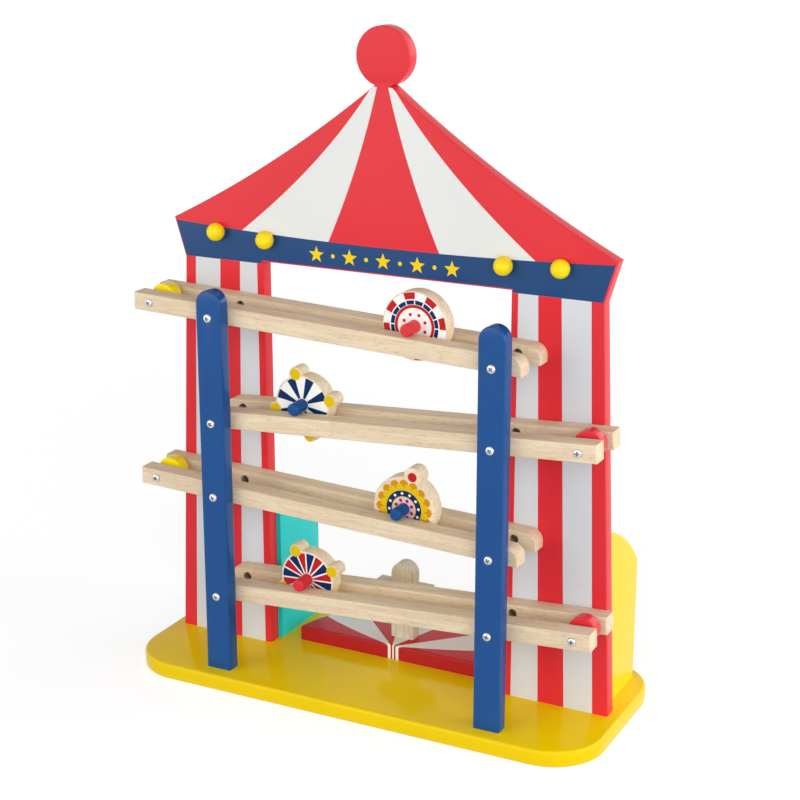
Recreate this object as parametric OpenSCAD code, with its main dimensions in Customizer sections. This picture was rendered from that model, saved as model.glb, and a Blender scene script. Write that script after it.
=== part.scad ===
// Circus tower with four zig-zag roller tracks, all sizes in millimetres.
// X runs along the tracks, Y from the front to the back, Z up from the floor.
// Tracks are counted from the top: 1 and 3 run down to the right, 2 and 4 to the left.

/* [Base] */
// Thickness of the base board
base_t = 13; // [8:0.5:20]
// Corner radius of the base board
base_corner_r = 45; // [10:1:60]
// Base beyond the feet of the tent panel at each side
base_side = 10; // [4:0.5:30]
// Base in front of the posts
base_front = 13; // [6:0.5:40]
// Base behind the rear braces
base_back = 19.5; // [6:0.5:60]

/* [Tent panel] */
// Thickness of the tent panel
panel_t = 13; // [8:0.5:20]
// Half width of the window between the legs
window_half = 110; // [90:0.5:140]
// Width of a leg at the base
leg_foot_w = 90; // [70:0.5:110]
// Width of a leg under the band
leg_top_w = 75; // [60:0.5:100]
// Window above the round tops of the posts
window_over = 12; // [8:0.1:40]
// Leg top below the window top
leg_drop = 2.9; // [0:0.1:10]
// Eave tips above the window top
band_h = 30; // [20:0.5:45]
// Eave tip beyond the leg top
eave_over = 10; // [2:0.5:25]
// Roof height from the eave tips to the neck
roof_h = 118; // [80:1:160]
// Half width of the neck under the finial disc
neck_half = 7.5; // [5:0.5:15]
// Sag of the two roof edges
roof_sag = 5.6; // [1:0.1:12]
// Radius of the finial disc
finial_r = 23.2; // [15:0.1:35]
// How far the finial disc dips into the neck
finial_dip = 0.7; // [0.2:0.1:4]

/* [Knobs] */
// Radius of the ball knobs
knob_r = 7.5; // [6:0.5:12]
// Radius of the flat that a knob sits on
knob_flat_r = 5.3; // [4:0.1:5.8]
// Outer knobs from the middle
knob_outer_x = 151.5; // [130:0.5:165]
// Inner knobs from the middle
knob_inner_x = 105; // [80:0.5:120]
// Outer knobs below the eave tips
knob_outer_drop = 8.1; // [5:0.1:14]
// Inner knobs below the eave tips
knob_inner_drop = 10.6; // [5:0.1:16]
// Radius of the glued knob peg
knob_peg_r = 3; // [2:0.5:4]
// Length of the knob peg
knob_peg_l = 8; // [4:0.5:10]

/* [Posts] */
// Width of a front post
post_w = 22.5; // [16:0.5:30]
// Thickness of a front post
post_t = 13; // [8:0.5:20]
// Post centre line outside the window edge
post_inset = 13; // [8:0.5:20]
// Round top centre above the top screw
post_rise = 11; // [8:0.5:20]

/* [Tracks] */
// Top of the lowest track at the middle, above the base
track_low_h = 80; // [70:0.5:110]
// Height between tracks at the middle
track_pitch = 75.5; // [72:0.5:95]
// Slope of tracks 1 and 3 in degrees
slope_odd = 2.3; // [1.5:0.1:4]
// Slope of tracks 2 and 4 in degrees
slope_even = 3.4; // [2:0.1:4]
// Thickness of a rail
rail_t = 16; // [12:0.5:20]
// Height of a rail
rail_h = 14.5; // [12:0.5:18]
// Clear gap between the two rails of a track
channel_gap = 20; // [18:0.5:28]
// Rail beyond the post at the high end
rail_high_over = 79; // [70:0.5:90]
// Rail beyond the post at the low end
rail_low_over = 19; // [14:0.5:25]
// Radius of the rounded top corner at the low end
rail_nose_r = 10; // [4:0.5:12]

/* [Stop wheels] */
// Radius of a stop wheel
wheel_r = 11.5; // [8:0.5:13]
// Thickness of a stop wheel
wheel_t = 12; // [8:0.5:14]
// Stop wheel centre from the high end of the rails
wheel_inset = 14.5; // [10:0.5:20]

/* [Rollers] */
// Thickness of a roller disc
disc_t = 14; // [10:0.5:16]
// Radius of the plain roller disc on track 1
ring_disc_r = 27.5; // [22:0.5:30]
// Radius of the gondola roller discs on tracks 2 and 4
gondola_disc_r = 24.5; // [20:0.5:26]
// Radius of a gondola
gondola_r = 5.6; // [4:0.1:6.5]
// Gondola centres from the axle
gondola_pitch_r = 25.8; // [22:0.1:27]
// Radius of the rosette roller disc on track 3
rosette_disc_r = 27; // [22:0.5:29]
// Radius of the round lobe on the rosette roller
lobe_r = 7.8; // [5:0.1:9]
// Lobe centre from the axle
lobe_pitch_r = 28.5; // [24:0.1:30]
// Radius of a roller axle dowel
axle_r = 5; // [3:0.1:5.5]
// Length of a roller axle dowel
axle_l = 46; // [40:0.5:48]
// Place of roller 1 down its track from the middle
roller_s1 = 44; // [-100:1:110]
// Place of roller 2 down its track from the middle
roller_s2 = 56; // [-100:1:110]
// Place of roller 3 down its track from the middle
roller_s3 = 35; // [-100:1:110]
// Place of roller 4 down its track from the middle
roller_s4 = 54; // [-100:1:110]
// Turn of roller 2 at rest in degrees
roller_turn2 = 14; // [0:1:90]
// Turn of roller 3's lobe at rest in degrees
roller_turn3 = 75; // [0:1:360]
// Turn of roller 4 at rest in degrees
roller_turn4 = 25; // [0:1:90]

/* [Rear braces] */
// Thickness of a rear brace
brace_t = 12; // [8:0.5:18]
// Depth of a rear brace behind the panel
brace_d = 67.5; // [50:0.5:90]
// Height of a brace at the panel
brace_front_h = 151; // [110:0.5:180]
// Height of a brace at its back edge
brace_back_h = 105; // [70:0.5:140]
// Radius of the curved top of a brace
brace_arc_r = 145; // [80:1:200]
// Inner brace showing beyond the leg edge
brace_reveal = 3.5; // [0:0.5:6]
// Outer brace inset from the leg foot edge
brace_inset = 7; // [6:0.5:20]

/* [Stage] */
// Thickness of the stage board
stage_t = 13; // [12:0.5:22]
// Stage rim inside the window edge
stage_margin = 19; // [16:0.5:40]
// Straight front of the stage from the circle's centre
stage_cut = 13; // [5:0.5:40]
// Gap between the tent panel and the stage
stage_gap = 4; // [0.5:0.5:6]
// Thickness of the stage upright
upright_t = 12.5; // [8:0.5:18]
// Width of the stage upright
upright_w = 21; // [14:0.5:30]
// Height of the stage upright
upright_h = 68.7; // [55:0.1:80]
// Upright's front face behind the panel
upright_back = 21; // [10:0.5:40]
// Length of the upright's cross arms from tip to tip
arm_l = 50; // [35:0.5:70]
// Height of the cross arms
arm_h = 20; // [12:0.5:26]
// Top of the cross arms above the stage
arm_top_h = 49.7; // [40:0.1:52]
// Radius of the upright's glued peg
peg_r = 3; // [2:0.5:4]
// Peg depth in the stage
peg_down = 10; // [6:0.5:12]
// Peg depth in the upright
peg_up = 16; // [8:0.5:24]

/* [Screws] */
// Radius of a screw head
head_r = 3.5; // [2.5:0.1:4.5]
// Height of a screw head
head_h = 2; // [1.2:0.1:3]
// Radius of a wood screw shank
shank_r = 1.75; // [1.2:0.05:2.4]
// Radius of the long stop wheel screw's shank
wheel_shank_r = 2; // [1.5:0.05:2.6]
// Bite of a screw in the piece it holds
screw_bite = 10; // [6:0.5:11]
// Depth of the counterbore in the rear rails
bore_depth = 8; // [4:0.5:10]
// Bite of a base screw in the piece above
base_bite = 10.5; // [8:0.5:12]
// Recess of a base screw's head
base_recess = 0.5; // [0.2:0.1:2]
// Height of a base screw's countersunk head
sunk_h = 2.5; // [1.5:0.1:4]
// Width of the cross slot in a screw head
slot_w = 1; // [0.6:0.1:1.5]

/* [Clearances] */
// Radial clearance of an axle in its hole
run_fit = 0.05; // [0.02:0.01:0.1]
// Radial clearance of screws and pegs in their holes
screw_fit = 0.05; // [0.02:0.01:0.2]
// Gap between a roller's axle and the rails under it
roll_gap = 0.25; // [0.1:0.05:0.5]

/* [Hidden] */
$fn = 96;
deep = 400;

// Depths from the base's front edge
track_d = channel_gap + 2 * rail_t;
base_d = base_front + post_t + track_d + panel_t + brace_d + base_back;
post_y = -base_d / 2 + base_front;
track_y = post_y + post_t;
channel_y = track_y + track_d / 2;
panel_y = track_y + track_d;
panel_back = panel_y + panel_t;

// Widths from the middle
post_x = window_half + post_inset;
leg_foot = window_half + leg_foot_w;
leg_top = window_half + leg_top_w;
eave_half = leg_top + eave_over;
base_w = 2 * (leg_foot + base_side);
rail_high = post_x + rail_high_over;
rail_low = post_x + rail_low_over;

// Tracks
function is_odd(k) = k % 2 == 1;
function slope(k) = is_odd(k) ? slope_odd : slope_even;
function side(k) = is_odd(k) ? 1 : -1;
function top_z(k) = base_t + track_low_h + (4 - k) * track_pitch;
function mid_z(k, x) = top_z(k) - side(k) * x * tan(slope(k)) - rail_h / 2 / cos(slope(k));
roller_s = [0, roller_s1, roller_s2, roller_s3, roller_s4];
roller_turn = [0, 0, roller_turn2, roller_turn3, roller_turn4];

// Heights above the base
post_arc_h = mid_z(1, -post_x) - base_t + post_rise;
post_h = post_arc_h + post_w / 2;
window_h = post_h + window_over;
leg_h = window_h - leg_drop;
eave_h = window_h + band_h;
neck_h = eave_h + roof_h;
finial_h = neck_h + finial_r - finial_dip;

// Roof edge arcs
roof_run = eave_half - neck_half;
roof_chord = sqrt(roof_run * roof_run + roof_h * roof_h);
roof_r = (roof_chord * roof_chord / 4 + roof_sag * roof_sag) / (2 * roof_sag);
roof_cx = (eave_half + neck_half) / 2 + roof_h / roof_chord * (roof_r - roof_sag);
roof_ch = (eave_h + neck_h) / 2 + roof_run / roof_chord * (roof_r - roof_sag);

// Rear braces
brace_fall = brace_front_h - brace_back_h;
brace_chord = sqrt(brace_d * brace_d + brace_fall * brace_fall);
brace_off = sqrt(brace_arc_r * brace_arc_r - brace_chord * brace_chord / 4);
brace_cy = brace_d / 2 - brace_fall / brace_chord * brace_off;
brace_ch = (brace_front_h + brace_back_h) / 2 - brace_d / brace_chord * brace_off;
inner_brace_x = window_half - brace_reveal;
outer_brace_x = leg_foot - brace_inset - brace_t;

// Stage
stage_r = window_half - stage_margin;
stage_y = panel_back + stage_gap;
stage_cy = stage_y - stage_cut;
stage_top = base_t + stage_t;
upright_y = panel_back + upright_back;
peg_y = upright_y + upright_t / 2;

// Screw lengths and the places of the base screws
post_screw_l = post_t + screw_bite;
rail_screw_l = rail_t - bore_depth + screw_bite;
wheel_screw_l = rail_t + channel_gap + screw_bite;
base_screw_top = base_t + base_bite;
base_post_y = post_y + post_t / 2;
base_leg_y = panel_y + panel_t / 2;
base_brace_y = panel_back + brace_d * 2 / 3;
base_stage_y = stage_cy + stage_r / 2;
leg_screw_in = window_half + leg_foot_w * 0.3;
leg_screw_out = window_half + leg_foot_w * 0.7;
base_screw_points = [
    [post_x, base_post_y],
    [leg_screw_in, base_leg_y],
    [leg_screw_out, base_leg_y],
    [inner_brace_x + brace_t / 2, base_brace_y],
    [outer_brace_x + brace_t / 2, base_brace_y],
    [stage_r / 2, base_stage_y]
];

// Helpers

// Stands an X and Z drawing up with its front face at y and its depth toward the back.
module upright_sheet(y, t) {
    translate([0, y + t, 0])
        rotate([90, 0, 0])
            linear_extrude(height = t)
                children();
}

// A round bar along Y from y.
module bar_y(x, y, z, r, l) {
    translate([x, y, z])
        rotate([-90, 0, 0])
            cylinder(r = r, h = l);
}

// Places children in a track's frame: X downhill, Z off the rails, origin on the rail tops.
module on_track(k) {
    translate([0, channel_y, top_z(k)])
        mirror([is_odd(k) ? 0 : 1, 0, 0])
            rotate([0, slope(k), 0])
                children();
}

module both_sides() {
    children();
    mirror([1, 0, 0])
        children();
}

// A pan head screw along Y: head in front of y, shank behind it.
module pan_screw(x, y, z, r, l) {
    translate([x, y, z])
        rotate([-90, 0, 0])
            difference() {
                union() {
                    cylinder(r = r, h = l);
                    translate([0, 0, -head_h])
                        cylinder(r1 = head_r * 0.72, r2 = head_r, h = head_h * 0.6);
                    translate([0, 0, -head_h * 0.4])
                        cylinder(r = head_r, h = head_h * 0.4);
                }
                translate([-head_r * 0.5, -slot_w / 2, -head_h - 1])
                    cube([head_r, slot_w, head_h * 0.5 + 1]);
                translate([-slot_w / 2, -head_r * 0.5, -head_h - 1])
                    cube([slot_w, head_r, head_h * 0.5 + 1]);
            }
}

// Base

module base_outline() {
    square([base_w - 2 * base_corner_r, base_d], center = true);
    square([base_w, base_d - 2 * base_corner_r], center = true);
    for (sx = [-1, 1], sy = [-1, 1])
        translate([sx * (base_w / 2 - base_corner_r), sy * (base_d / 2 - base_corner_r)])
            circle(r = base_corner_r);
}

module base_screw_holes() {
    both_sides()
        for (p = base_screw_points)
            translate([p[0], p[1], -1]) {
                cylinder(r = shank_r + screw_fit, h = base_screw_top + 1 + screw_fit);
                cylinder(r = head_r + screw_fit, h = base_recess + 1 + screw_fit);
                translate([0, 0, base_recess + 1])
                    cylinder(r1 = head_r + screw_fit, r2 = shank_r + screw_fit, h = sunk_h);
            }
}

module base_board() {
    color("gold")
        difference() {
            linear_extrude(height = base_t)
                base_outline();
            base_screw_holes();
        }
}

module base_screws() {
    color("silver")
        both_sides()
            for (p = base_screw_points)
                translate([p[0], p[1], base_recess])
                    difference() {
                        union() {
                            cylinder(r1 = head_r, r2 = shank_r, h = sunk_h);
                            cylinder(r = shank_r, h = base_screw_top - base_recess);
                        }
                        translate([-head_r * 0.5, -slot_w / 2, -1])
                            cube([head_r, slot_w, sunk_h * 0.4 + 1]);
                        translate([-slot_w / 2, -head_r * 0.5, -1])
                            cube([slot_w, head_r, sunk_h * 0.4 + 1]);
                    }
}

// Tent panel

module tent_outline() {
    difference() {
        union() {
            polygon([
                [-leg_foot, 0], [leg_foot, 0],
                [leg_top, leg_h], [eave_half, eave_h],
                [neck_half, neck_h], [-neck_half, neck_h],
                [-eave_half, eave_h], [-leg_top, leg_h]
            ]);
        }
        translate([-window_half, -1])
            square([2 * window_half, window_h + 1]);
        for (s = [-1, 1])
            translate([s * roof_cx, roof_ch])
                circle(r = roof_r, $fn = 720);
    }
    translate([0, finial_h])
        circle(r = finial_r);
}

module tent_panel() {
    color("crimson")
        difference() {
            translate([0, 0, base_t])
                upright_sheet(panel_y, panel_t)
                    tent_outline();
            for (k = [1:4])
                for (x = [-post_x, post_x])
                    bar_y(x, panel_y - 1, mid_z(k, x), shank_r + screw_fit, screw_bite + 1 + screw_fit);
            for (i = [1:4])
                bar_y(knob_x(i), panel_y - 1, knob_z(i), knob_peg_r + screw_fit, knob_peg_l + 1 + screw_fit);
            base_screw_holes();
        }
}

// Knobs on the band, counted from the left

function knob_x(i) = [0, -knob_outer_x, -knob_inner_x, knob_inner_x, knob_outer_x][i];
function knob_z(i) = base_t + eave_h - (i == 1 || i == 4 ? knob_outer_drop : knob_inner_drop);
knob_stand = sqrt(knob_r * knob_r - knob_flat_r * knob_flat_r);

module knob(i) {
    color("gold") {
        difference() {
            translate([knob_x(i), panel_y - knob_stand, knob_z(i)])
                sphere(r = knob_r);
            translate([knob_x(i) - knob_r - 1, panel_y, knob_z(i) - knob_r - 1])
                cube([2 * knob_r + 2, knob_r + 1, 2 * knob_r + 2]);
        }
        bar_y(knob_x(i), panel_y - 1, knob_z(i), knob_peg_r, knob_peg_l + 1);
    }
}

module knob_1() { knob(1); }
module knob_2() { knob(2); }
module knob_3() { knob(3); }
module knob_4() { knob(4); }

// Front posts

module post(x) {
    color("royalblue")
        difference() {
            translate([0, 0, base_t])
                upright_sheet(post_y, post_t) {
                    translate([x - post_w / 2, 0])
                        square([post_w, post_arc_h]);
                    translate([x, post_arc_h])
                        circle(d = post_w);
                }
            for (k = [1:4])
                bar_y(x, post_y - 1, mid_z(k, x), shank_r + screw_fit, post_t + 2);
            base_screw_holes();
        }
}

module left_post() { post(-post_x); }
module right_post() { post(post_x); }

module post_screws() {
    color("silver")
        for (k = [1:4], x = [-post_x, post_x])
            pan_screw(x, post_y, mid_z(k, x), shank_r, post_screw_l);
}

// Rails

// Side view of a rail with its top on the X axis, high end at the left.
module rail_outline() {
    translate([-rail_high, -rail_h])
        square([rail_high + rail_low - rail_nose_r, rail_h]);
    translate([-rail_high, -rail_h])
        square([rail_high + rail_low, rail_h - rail_nose_r]);
    translate([rail_low - rail_nose_r, -rail_nose_r])
        circle(r = rail_nose_r);
}

module wheel_screw_hole(k, y, l) {
    on_track(k)
        bar_y(wheel_s, y - channel_y, -rail_h / 2, wheel_shank_r + screw_fit, l);
}

module front_rail(k) {
    color("burlywood")
        difference() {
            on_track(k)
                upright_sheet(-channel_gap / 2 - rail_t, rail_t)
                    rail_outline();
            for (x = [-post_x, post_x])
                bar_y(x, track_y - 1, mid_z(k, x), shank_r + screw_fit, screw_bite + 1 + screw_fit);
            wheel_screw_hole(k, track_y - 1, rail_t + 2);
        }
}

module rear_rail(k) {
    color("burlywood")
        difference() {
            on_track(k)
                upright_sheet(channel_gap / 2, rail_t)
                    rail_outline();
            for (x = [-post_x, post_x]) {
                bar_y(x, panel_y - rail_t - 1, mid_z(k, x), shank_r + screw_fit, rail_t + 2);
                bar_y(x, panel_y - rail_t - 1, mid_z(k, x), head_r + screw_fit, bore_depth + 1);
            }
            wheel_screw_hole(k, panel_y - rail_t - 1, screw_bite + 1 + screw_fit);
        }
}

module front_rail_1() { front_rail(1); }
module front_rail_2() { front_rail(2); }
module front_rail_3() { front_rail(3); }
module front_rail_4() { front_rail(4); }
module rear_rail_1() { rear_rail(1); }
module rear_rail_2() { rear_rail(2); }
module rear_rail_3() { rear_rail(3); }
module rear_rail_4() { rear_rail(4); }

module rail_screws() {
    color("silver")
        for (k = [1:4], x = [-post_x, post_x])
            pan_screw(x, panel_y - rail_t + bore_depth, mid_z(k, x), shank_r, rail_screw_l);
}

// Stop wheels at the high ends

wheel_s = wheel_inset - rail_high;

module stop_wheel(k, paint) {
    color(paint)
        on_track(k)
            difference() {
                bar_y(wheel_s, -wheel_t / 2, -rail_h / 2, wheel_r, wheel_t);
                bar_y(wheel_s, -wheel_t, -rail_h / 2, wheel_shank_r + run_fit, 2 * wheel_t);
            }
}

module stop_wheel_1() { stop_wheel(1, "gold"); }
module stop_wheel_2() { stop_wheel(2, "red"); }
module stop_wheel_3() { stop_wheel(3, "gold"); }
module stop_wheel_4() { stop_wheel(4, "red"); }

module wheel_screws() {
    color("silver")
        for (k = [1:4])
            on_track(k)
                pan_screw(wheel_s, track_y - channel_y, -rail_h / 2, wheel_shank_r, wheel_screw_l);
}

// Rollers

// Places children at a roller's centre, turned with the roller, Y along the axle.
module at_roller(k) {
    on_track(k)
        translate([roller_s[k], 0, axle_r + roll_gap])
            rotate([0, -slope(k), 0])
                mirror([is_odd(k) ? 0 : 1, 0, 0])
                    rotate([0, -roller_turn[k], 0])
                        children();
}

module disc_sheet() {
    difference() {
        upright_sheet(-disc_t / 2, disc_t)
            children();
        bar_y(0, -disc_t, 0, axle_r + run_fit, 2 * disc_t);
    }
}

module gondola_outline() {
    circle(r = gondola_disc_r);
    for (a = [0, 90, 180, 270])
        rotate(a)
            translate([gondola_pitch_r, 0])
                circle(r = gondola_r);
}

module rosette_outline() {
    circle(r = rosette_disc_r);
    translate([lobe_pitch_r, 0])
        circle(r = lobe_r);
}

module roller_disc_1() {
    color("tan")
        at_roller(1)
            disc_sheet()
                circle(r = ring_disc_r);
}

module roller_disc_2() {
    color("tan")
        at_roller(2)
            disc_sheet()
                gondola_outline();
}

module roller_disc_3() {
    color("tan")
        at_roller(3)
            disc_sheet()
                rosette_outline();
}

module roller_disc_4() {
    color("tan")
        at_roller(4)
            disc_sheet()
                gondola_outline();
}

module roller_axle(k, paint) {
    color(paint)
        at_roller(k)
            bar_y(0, -axle_l / 2, 0, axle_r, axle_l);
}

module roller_axle_1() { roller_axle(1, "red"); }
module roller_axle_2() { roller_axle(2, "blue"); }
module roller_axle_3() { roller_axle(3, "blue"); }
module roller_axle_4() { roller_axle(4, "red"); }

// Rear braces

module brace_outline() {
    intersection() {
        square([brace_d, max(brace_front_h, brace_arc_r)]);
        translate([brace_cy, brace_ch])
            circle(r = brace_arc_r);
    }
}

module brace(x, paint) {
    color(paint)
        difference() {
            translate([x, panel_back, base_t])
                rotate([90, 0, 90])
                    linear_extrude(height = brace_t)
                        brace_outline();
            base_screw_holes();
        }
}

module left_outer_brace() { brace(-outer_brace_x - brace_t, "turquoise"); }
module left_inner_brace() { brace(-inner_brace_x - brace_t, "turquoise"); }
module right_inner_brace() { brace(inner_brace_x, "gold"); }
module right_outer_brace() { brace(outer_brace_x, "gold"); }

// Stage

module stage_board() {
    color("crimson")
        difference() {
            translate([0, stage_cy, base_t])
                cylinder(r = stage_r, h = stage_t);
            translate([-deep / 2, stage_y - deep, base_t - 1])
                cube([deep, deep, stage_t + 2]);
            translate([0, peg_y, stage_top - peg_down - screw_fit])
                cylinder(r = peg_r + screw_fit, h = peg_down + 1);
            base_screw_holes();
        }
}

module stage_upright() {
    color("tan")
        difference() {
            translate([0, 0, stage_top])
                upright_sheet(upright_y, upright_t) {
                    translate([-upright_w / 2, 0])
                        square([upright_w, upright_h - upright_w / 2]);
                    translate([0, upright_h - upright_w / 2])
                        circle(d = upright_w);
                    translate([-arm_l / 2, arm_top_h - arm_h])
                        square([arm_l, arm_h]);
                }
            translate([0, peg_y, stage_top - 1])
                cylinder(r = peg_r + screw_fit, h = peg_up + 1 + screw_fit);
        }
}

module upright_peg() {
    color("tan")
        translate([0, peg_y, stage_top - peg_down])
            cylinder(r = peg_r, h = peg_down + peg_up);
}

base_board();
tent_panel();
left_post();
right_post();
front_rail_1();
front_rail_2();
front_rail_3();
front_rail_4();
rear_rail_1();
rear_rail_2();
rear_rail_3();
rear_rail_4();
stop_wheel_1();
stop_wheel_2();
stop_wheel_3();
stop_wheel_4();
roller_disc_1();
roller_disc_2();
roller_disc_3();
roller_disc_4();
roller_axle_1();
roller_axle_2();
roller_axle_3();
roller_axle_4();
left_outer_brace();
left_inner_brace();
right_inner_brace();
right_outer_brace();
stage_board();
stage_upright();
upright_peg();
knob_1();
knob_2();
knob_3();
knob_4();
post_screws();
rail_screws();
wheel_screws();
base_screws();
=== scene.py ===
"""Looks of a wooden circus tower whose printed discs roll down four zig-zag tracks.

Sizes are in millimetres and turn into metres when a mesh is written. X runs along the tracks,
Y from the front posts to the rear braces and Z up, as in the CAD model.
"""

import logging
import math
from dataclasses import dataclass, field
from enum import Enum
from functools import reduce
from typing import Callable, Sequence, Union

import bmesh
import bpy
from mathutils import Matrix, Vector, geometry


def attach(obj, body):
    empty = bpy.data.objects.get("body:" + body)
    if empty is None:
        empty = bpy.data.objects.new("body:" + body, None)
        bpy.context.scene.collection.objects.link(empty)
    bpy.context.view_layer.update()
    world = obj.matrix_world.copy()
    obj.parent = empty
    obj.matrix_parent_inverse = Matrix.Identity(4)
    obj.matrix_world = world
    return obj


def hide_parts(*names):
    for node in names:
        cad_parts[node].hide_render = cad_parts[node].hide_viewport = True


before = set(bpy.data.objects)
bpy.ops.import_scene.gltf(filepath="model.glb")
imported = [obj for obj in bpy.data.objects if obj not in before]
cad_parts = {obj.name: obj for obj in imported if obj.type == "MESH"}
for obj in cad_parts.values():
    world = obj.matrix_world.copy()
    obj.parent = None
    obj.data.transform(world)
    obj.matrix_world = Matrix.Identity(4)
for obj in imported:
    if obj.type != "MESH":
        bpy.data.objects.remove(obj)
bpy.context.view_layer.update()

LOG = logging.getLogger("tower")
MM = 0.001
TRACKS = range(1, 5)
TOUCH = 0.01
Point = tuple[float, float]
Point3 = tuple[float, float, float]
Limits = tuple[float, float, float, float]
Share = Callable[[Point, Point], float]
Socket = bpy.types.NodeSocket
Node = bpy.types.Node
Tree = bpy.types.NodeTree
Material = bpy.types.Material
Mesh = bpy.types.Mesh
Object = bpy.types.Object
BMesh = bmesh.types.BMesh
Value = Union[Socket, float]
Shade = Union[Socket, tuple]


def linear(channel: int) -> float:
    """Linear value of one sRGB channel from 0 to 255."""
    c = channel / 255
    return c / 12.92 if c <= 0.04045 else ((c + 0.055) / 1.055) ** 2.4


class Ink(Enum):
    """The tower's paints, inks and woods as sRGB values."""

    RED = (226, 50, 58)
    WHITE = (231, 232, 229)
    # A darker, cooler copy of the white: painted shade on the leg stripes under the rails and posts, cooled
    # against the yellow light from the base.
    LEG_WHITE = (218, 221, 226)
    STAGE_WHITE = (247, 244, 242)
    BLUE = (12, 77, 143)
    NAVY = (3, 43, 93)
    BAND_BLUE = (32, 72, 122)
    YELLOW = (248, 212, 6)
    LEMON = (252, 226, 14)
    TEAL = (26, 222, 223)
    ORANGE = (214, 146, 12)
    PRINT_RED = (194, 32, 38)
    PRINT_WHITE = (250, 250, 245)
    PRINT_YELLOW = (229, 194, 16)
    LILAC = (228, 206, 218)
    STAGE_RED = (210, 34, 44)
    # A darker copy of the stage red: painted shade on the stage's edge and underside.
    STAGE_EDGE = (182, 36, 40)
    PALE_WOOD = (240, 220, 189)
    DARK_WOOD = (202, 173, 136)
    DISC_WOOD = (245, 231, 201)
    # A cooler, greyer copy of the bare wood and its grain: painted shade on the upright behind the panel.
    COOL_WOOD = (232, 225, 203)
    COOL_GRAIN = (192, 178, 146)
    STEEL = (208, 209, 212)
    # Near-black colour of the painted shade inside holes and recesses.
    GRIME = (28, 26, 24)

    @property
    def rgba(self) -> tuple[float, float, float, float]:
        """The colour as linear RGBA."""
        r, g, b = (linear(c) for c in self.value)
        return r, g, b, 1.0


# Shared sizes


@dataclass(frozen=True)
class Layout:
    """Sizes that several sub-assemblies share."""

    base_t: float = 13.0
    base_w: float = 420.0
    base_d: float = 178.0
    post_y: float = -76.0
    post_t: float = 13.0
    post_x: float = 123.0
    track_y: float = -63.0
    channel_y: float = -37.0
    panel_y: float = -11.0
    panel_back: float = 2.0
    window_half: float = 110.0
    leg_foot: float = 200.0
    stage_front: float = 6.0
    rail_t: float = 16.0
    rail_h: float = 14.5
    rail_high: float = 202.0
    rail_low: float = 142.0
    channel_gap: float = 20.0
    track_low_h: float = 80.0
    track_pitch: float = 75.5
    slope_odd: float = 2.3
    slope_even: float = 3.4
    bore_depth: float = 8.0
    screw_bite: float = 10.0

    def slope(self, k: int) -> float:
        """Slope of a track in radians."""
        return math.radians(self.slope_odd if k % 2 else self.slope_even)

    def side(self, k: int) -> int:
        """1 where a track runs down to the right, -1 to the left."""
        return 1 if k % 2 else -1

    def top_z(self, k: int) -> float:
        """Height of a track's rail tops at the middle."""
        return self.base_t + self.track_low_h + (len(TRACKS) - k) * self.track_pitch

    def mid_z(self, k: int, x: float) -> float:
        """Height of a rail's middle.

        Args:
            k: Track.
            x: Place along the tower.

        Returns:
            The height at that place.
        """
        tilt = self.slope(k)
        fall = self.side(k) * x * math.tan(tilt)
        return self.top_z(k) - fall - self.rail_h / 2 / math.cos(tilt)

    def on_track(self, k: int, y: float) -> Matrix:
        """Frame of a track: U downhill, V off the rail tops, W to the back from y."""
        c, n, d = math.cos(self.slope(k)), math.sin(self.slope(k)), self.side(k)
        return Matrix(((d * c, d * n, 0, 0), (0, 0, 1, y), (-n, c, 0, self.top_z(k)), (0, 0, 0, 1)))

    def track_point(self, k: int, s: float, n: float) -> Vector:
        """Where a point of a track lies, in the middle of its channel."""
        return self.on_track(k, self.channel_y) @ Vector((s, n, 0))


LAYOUT = Layout()


# Shader building


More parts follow.
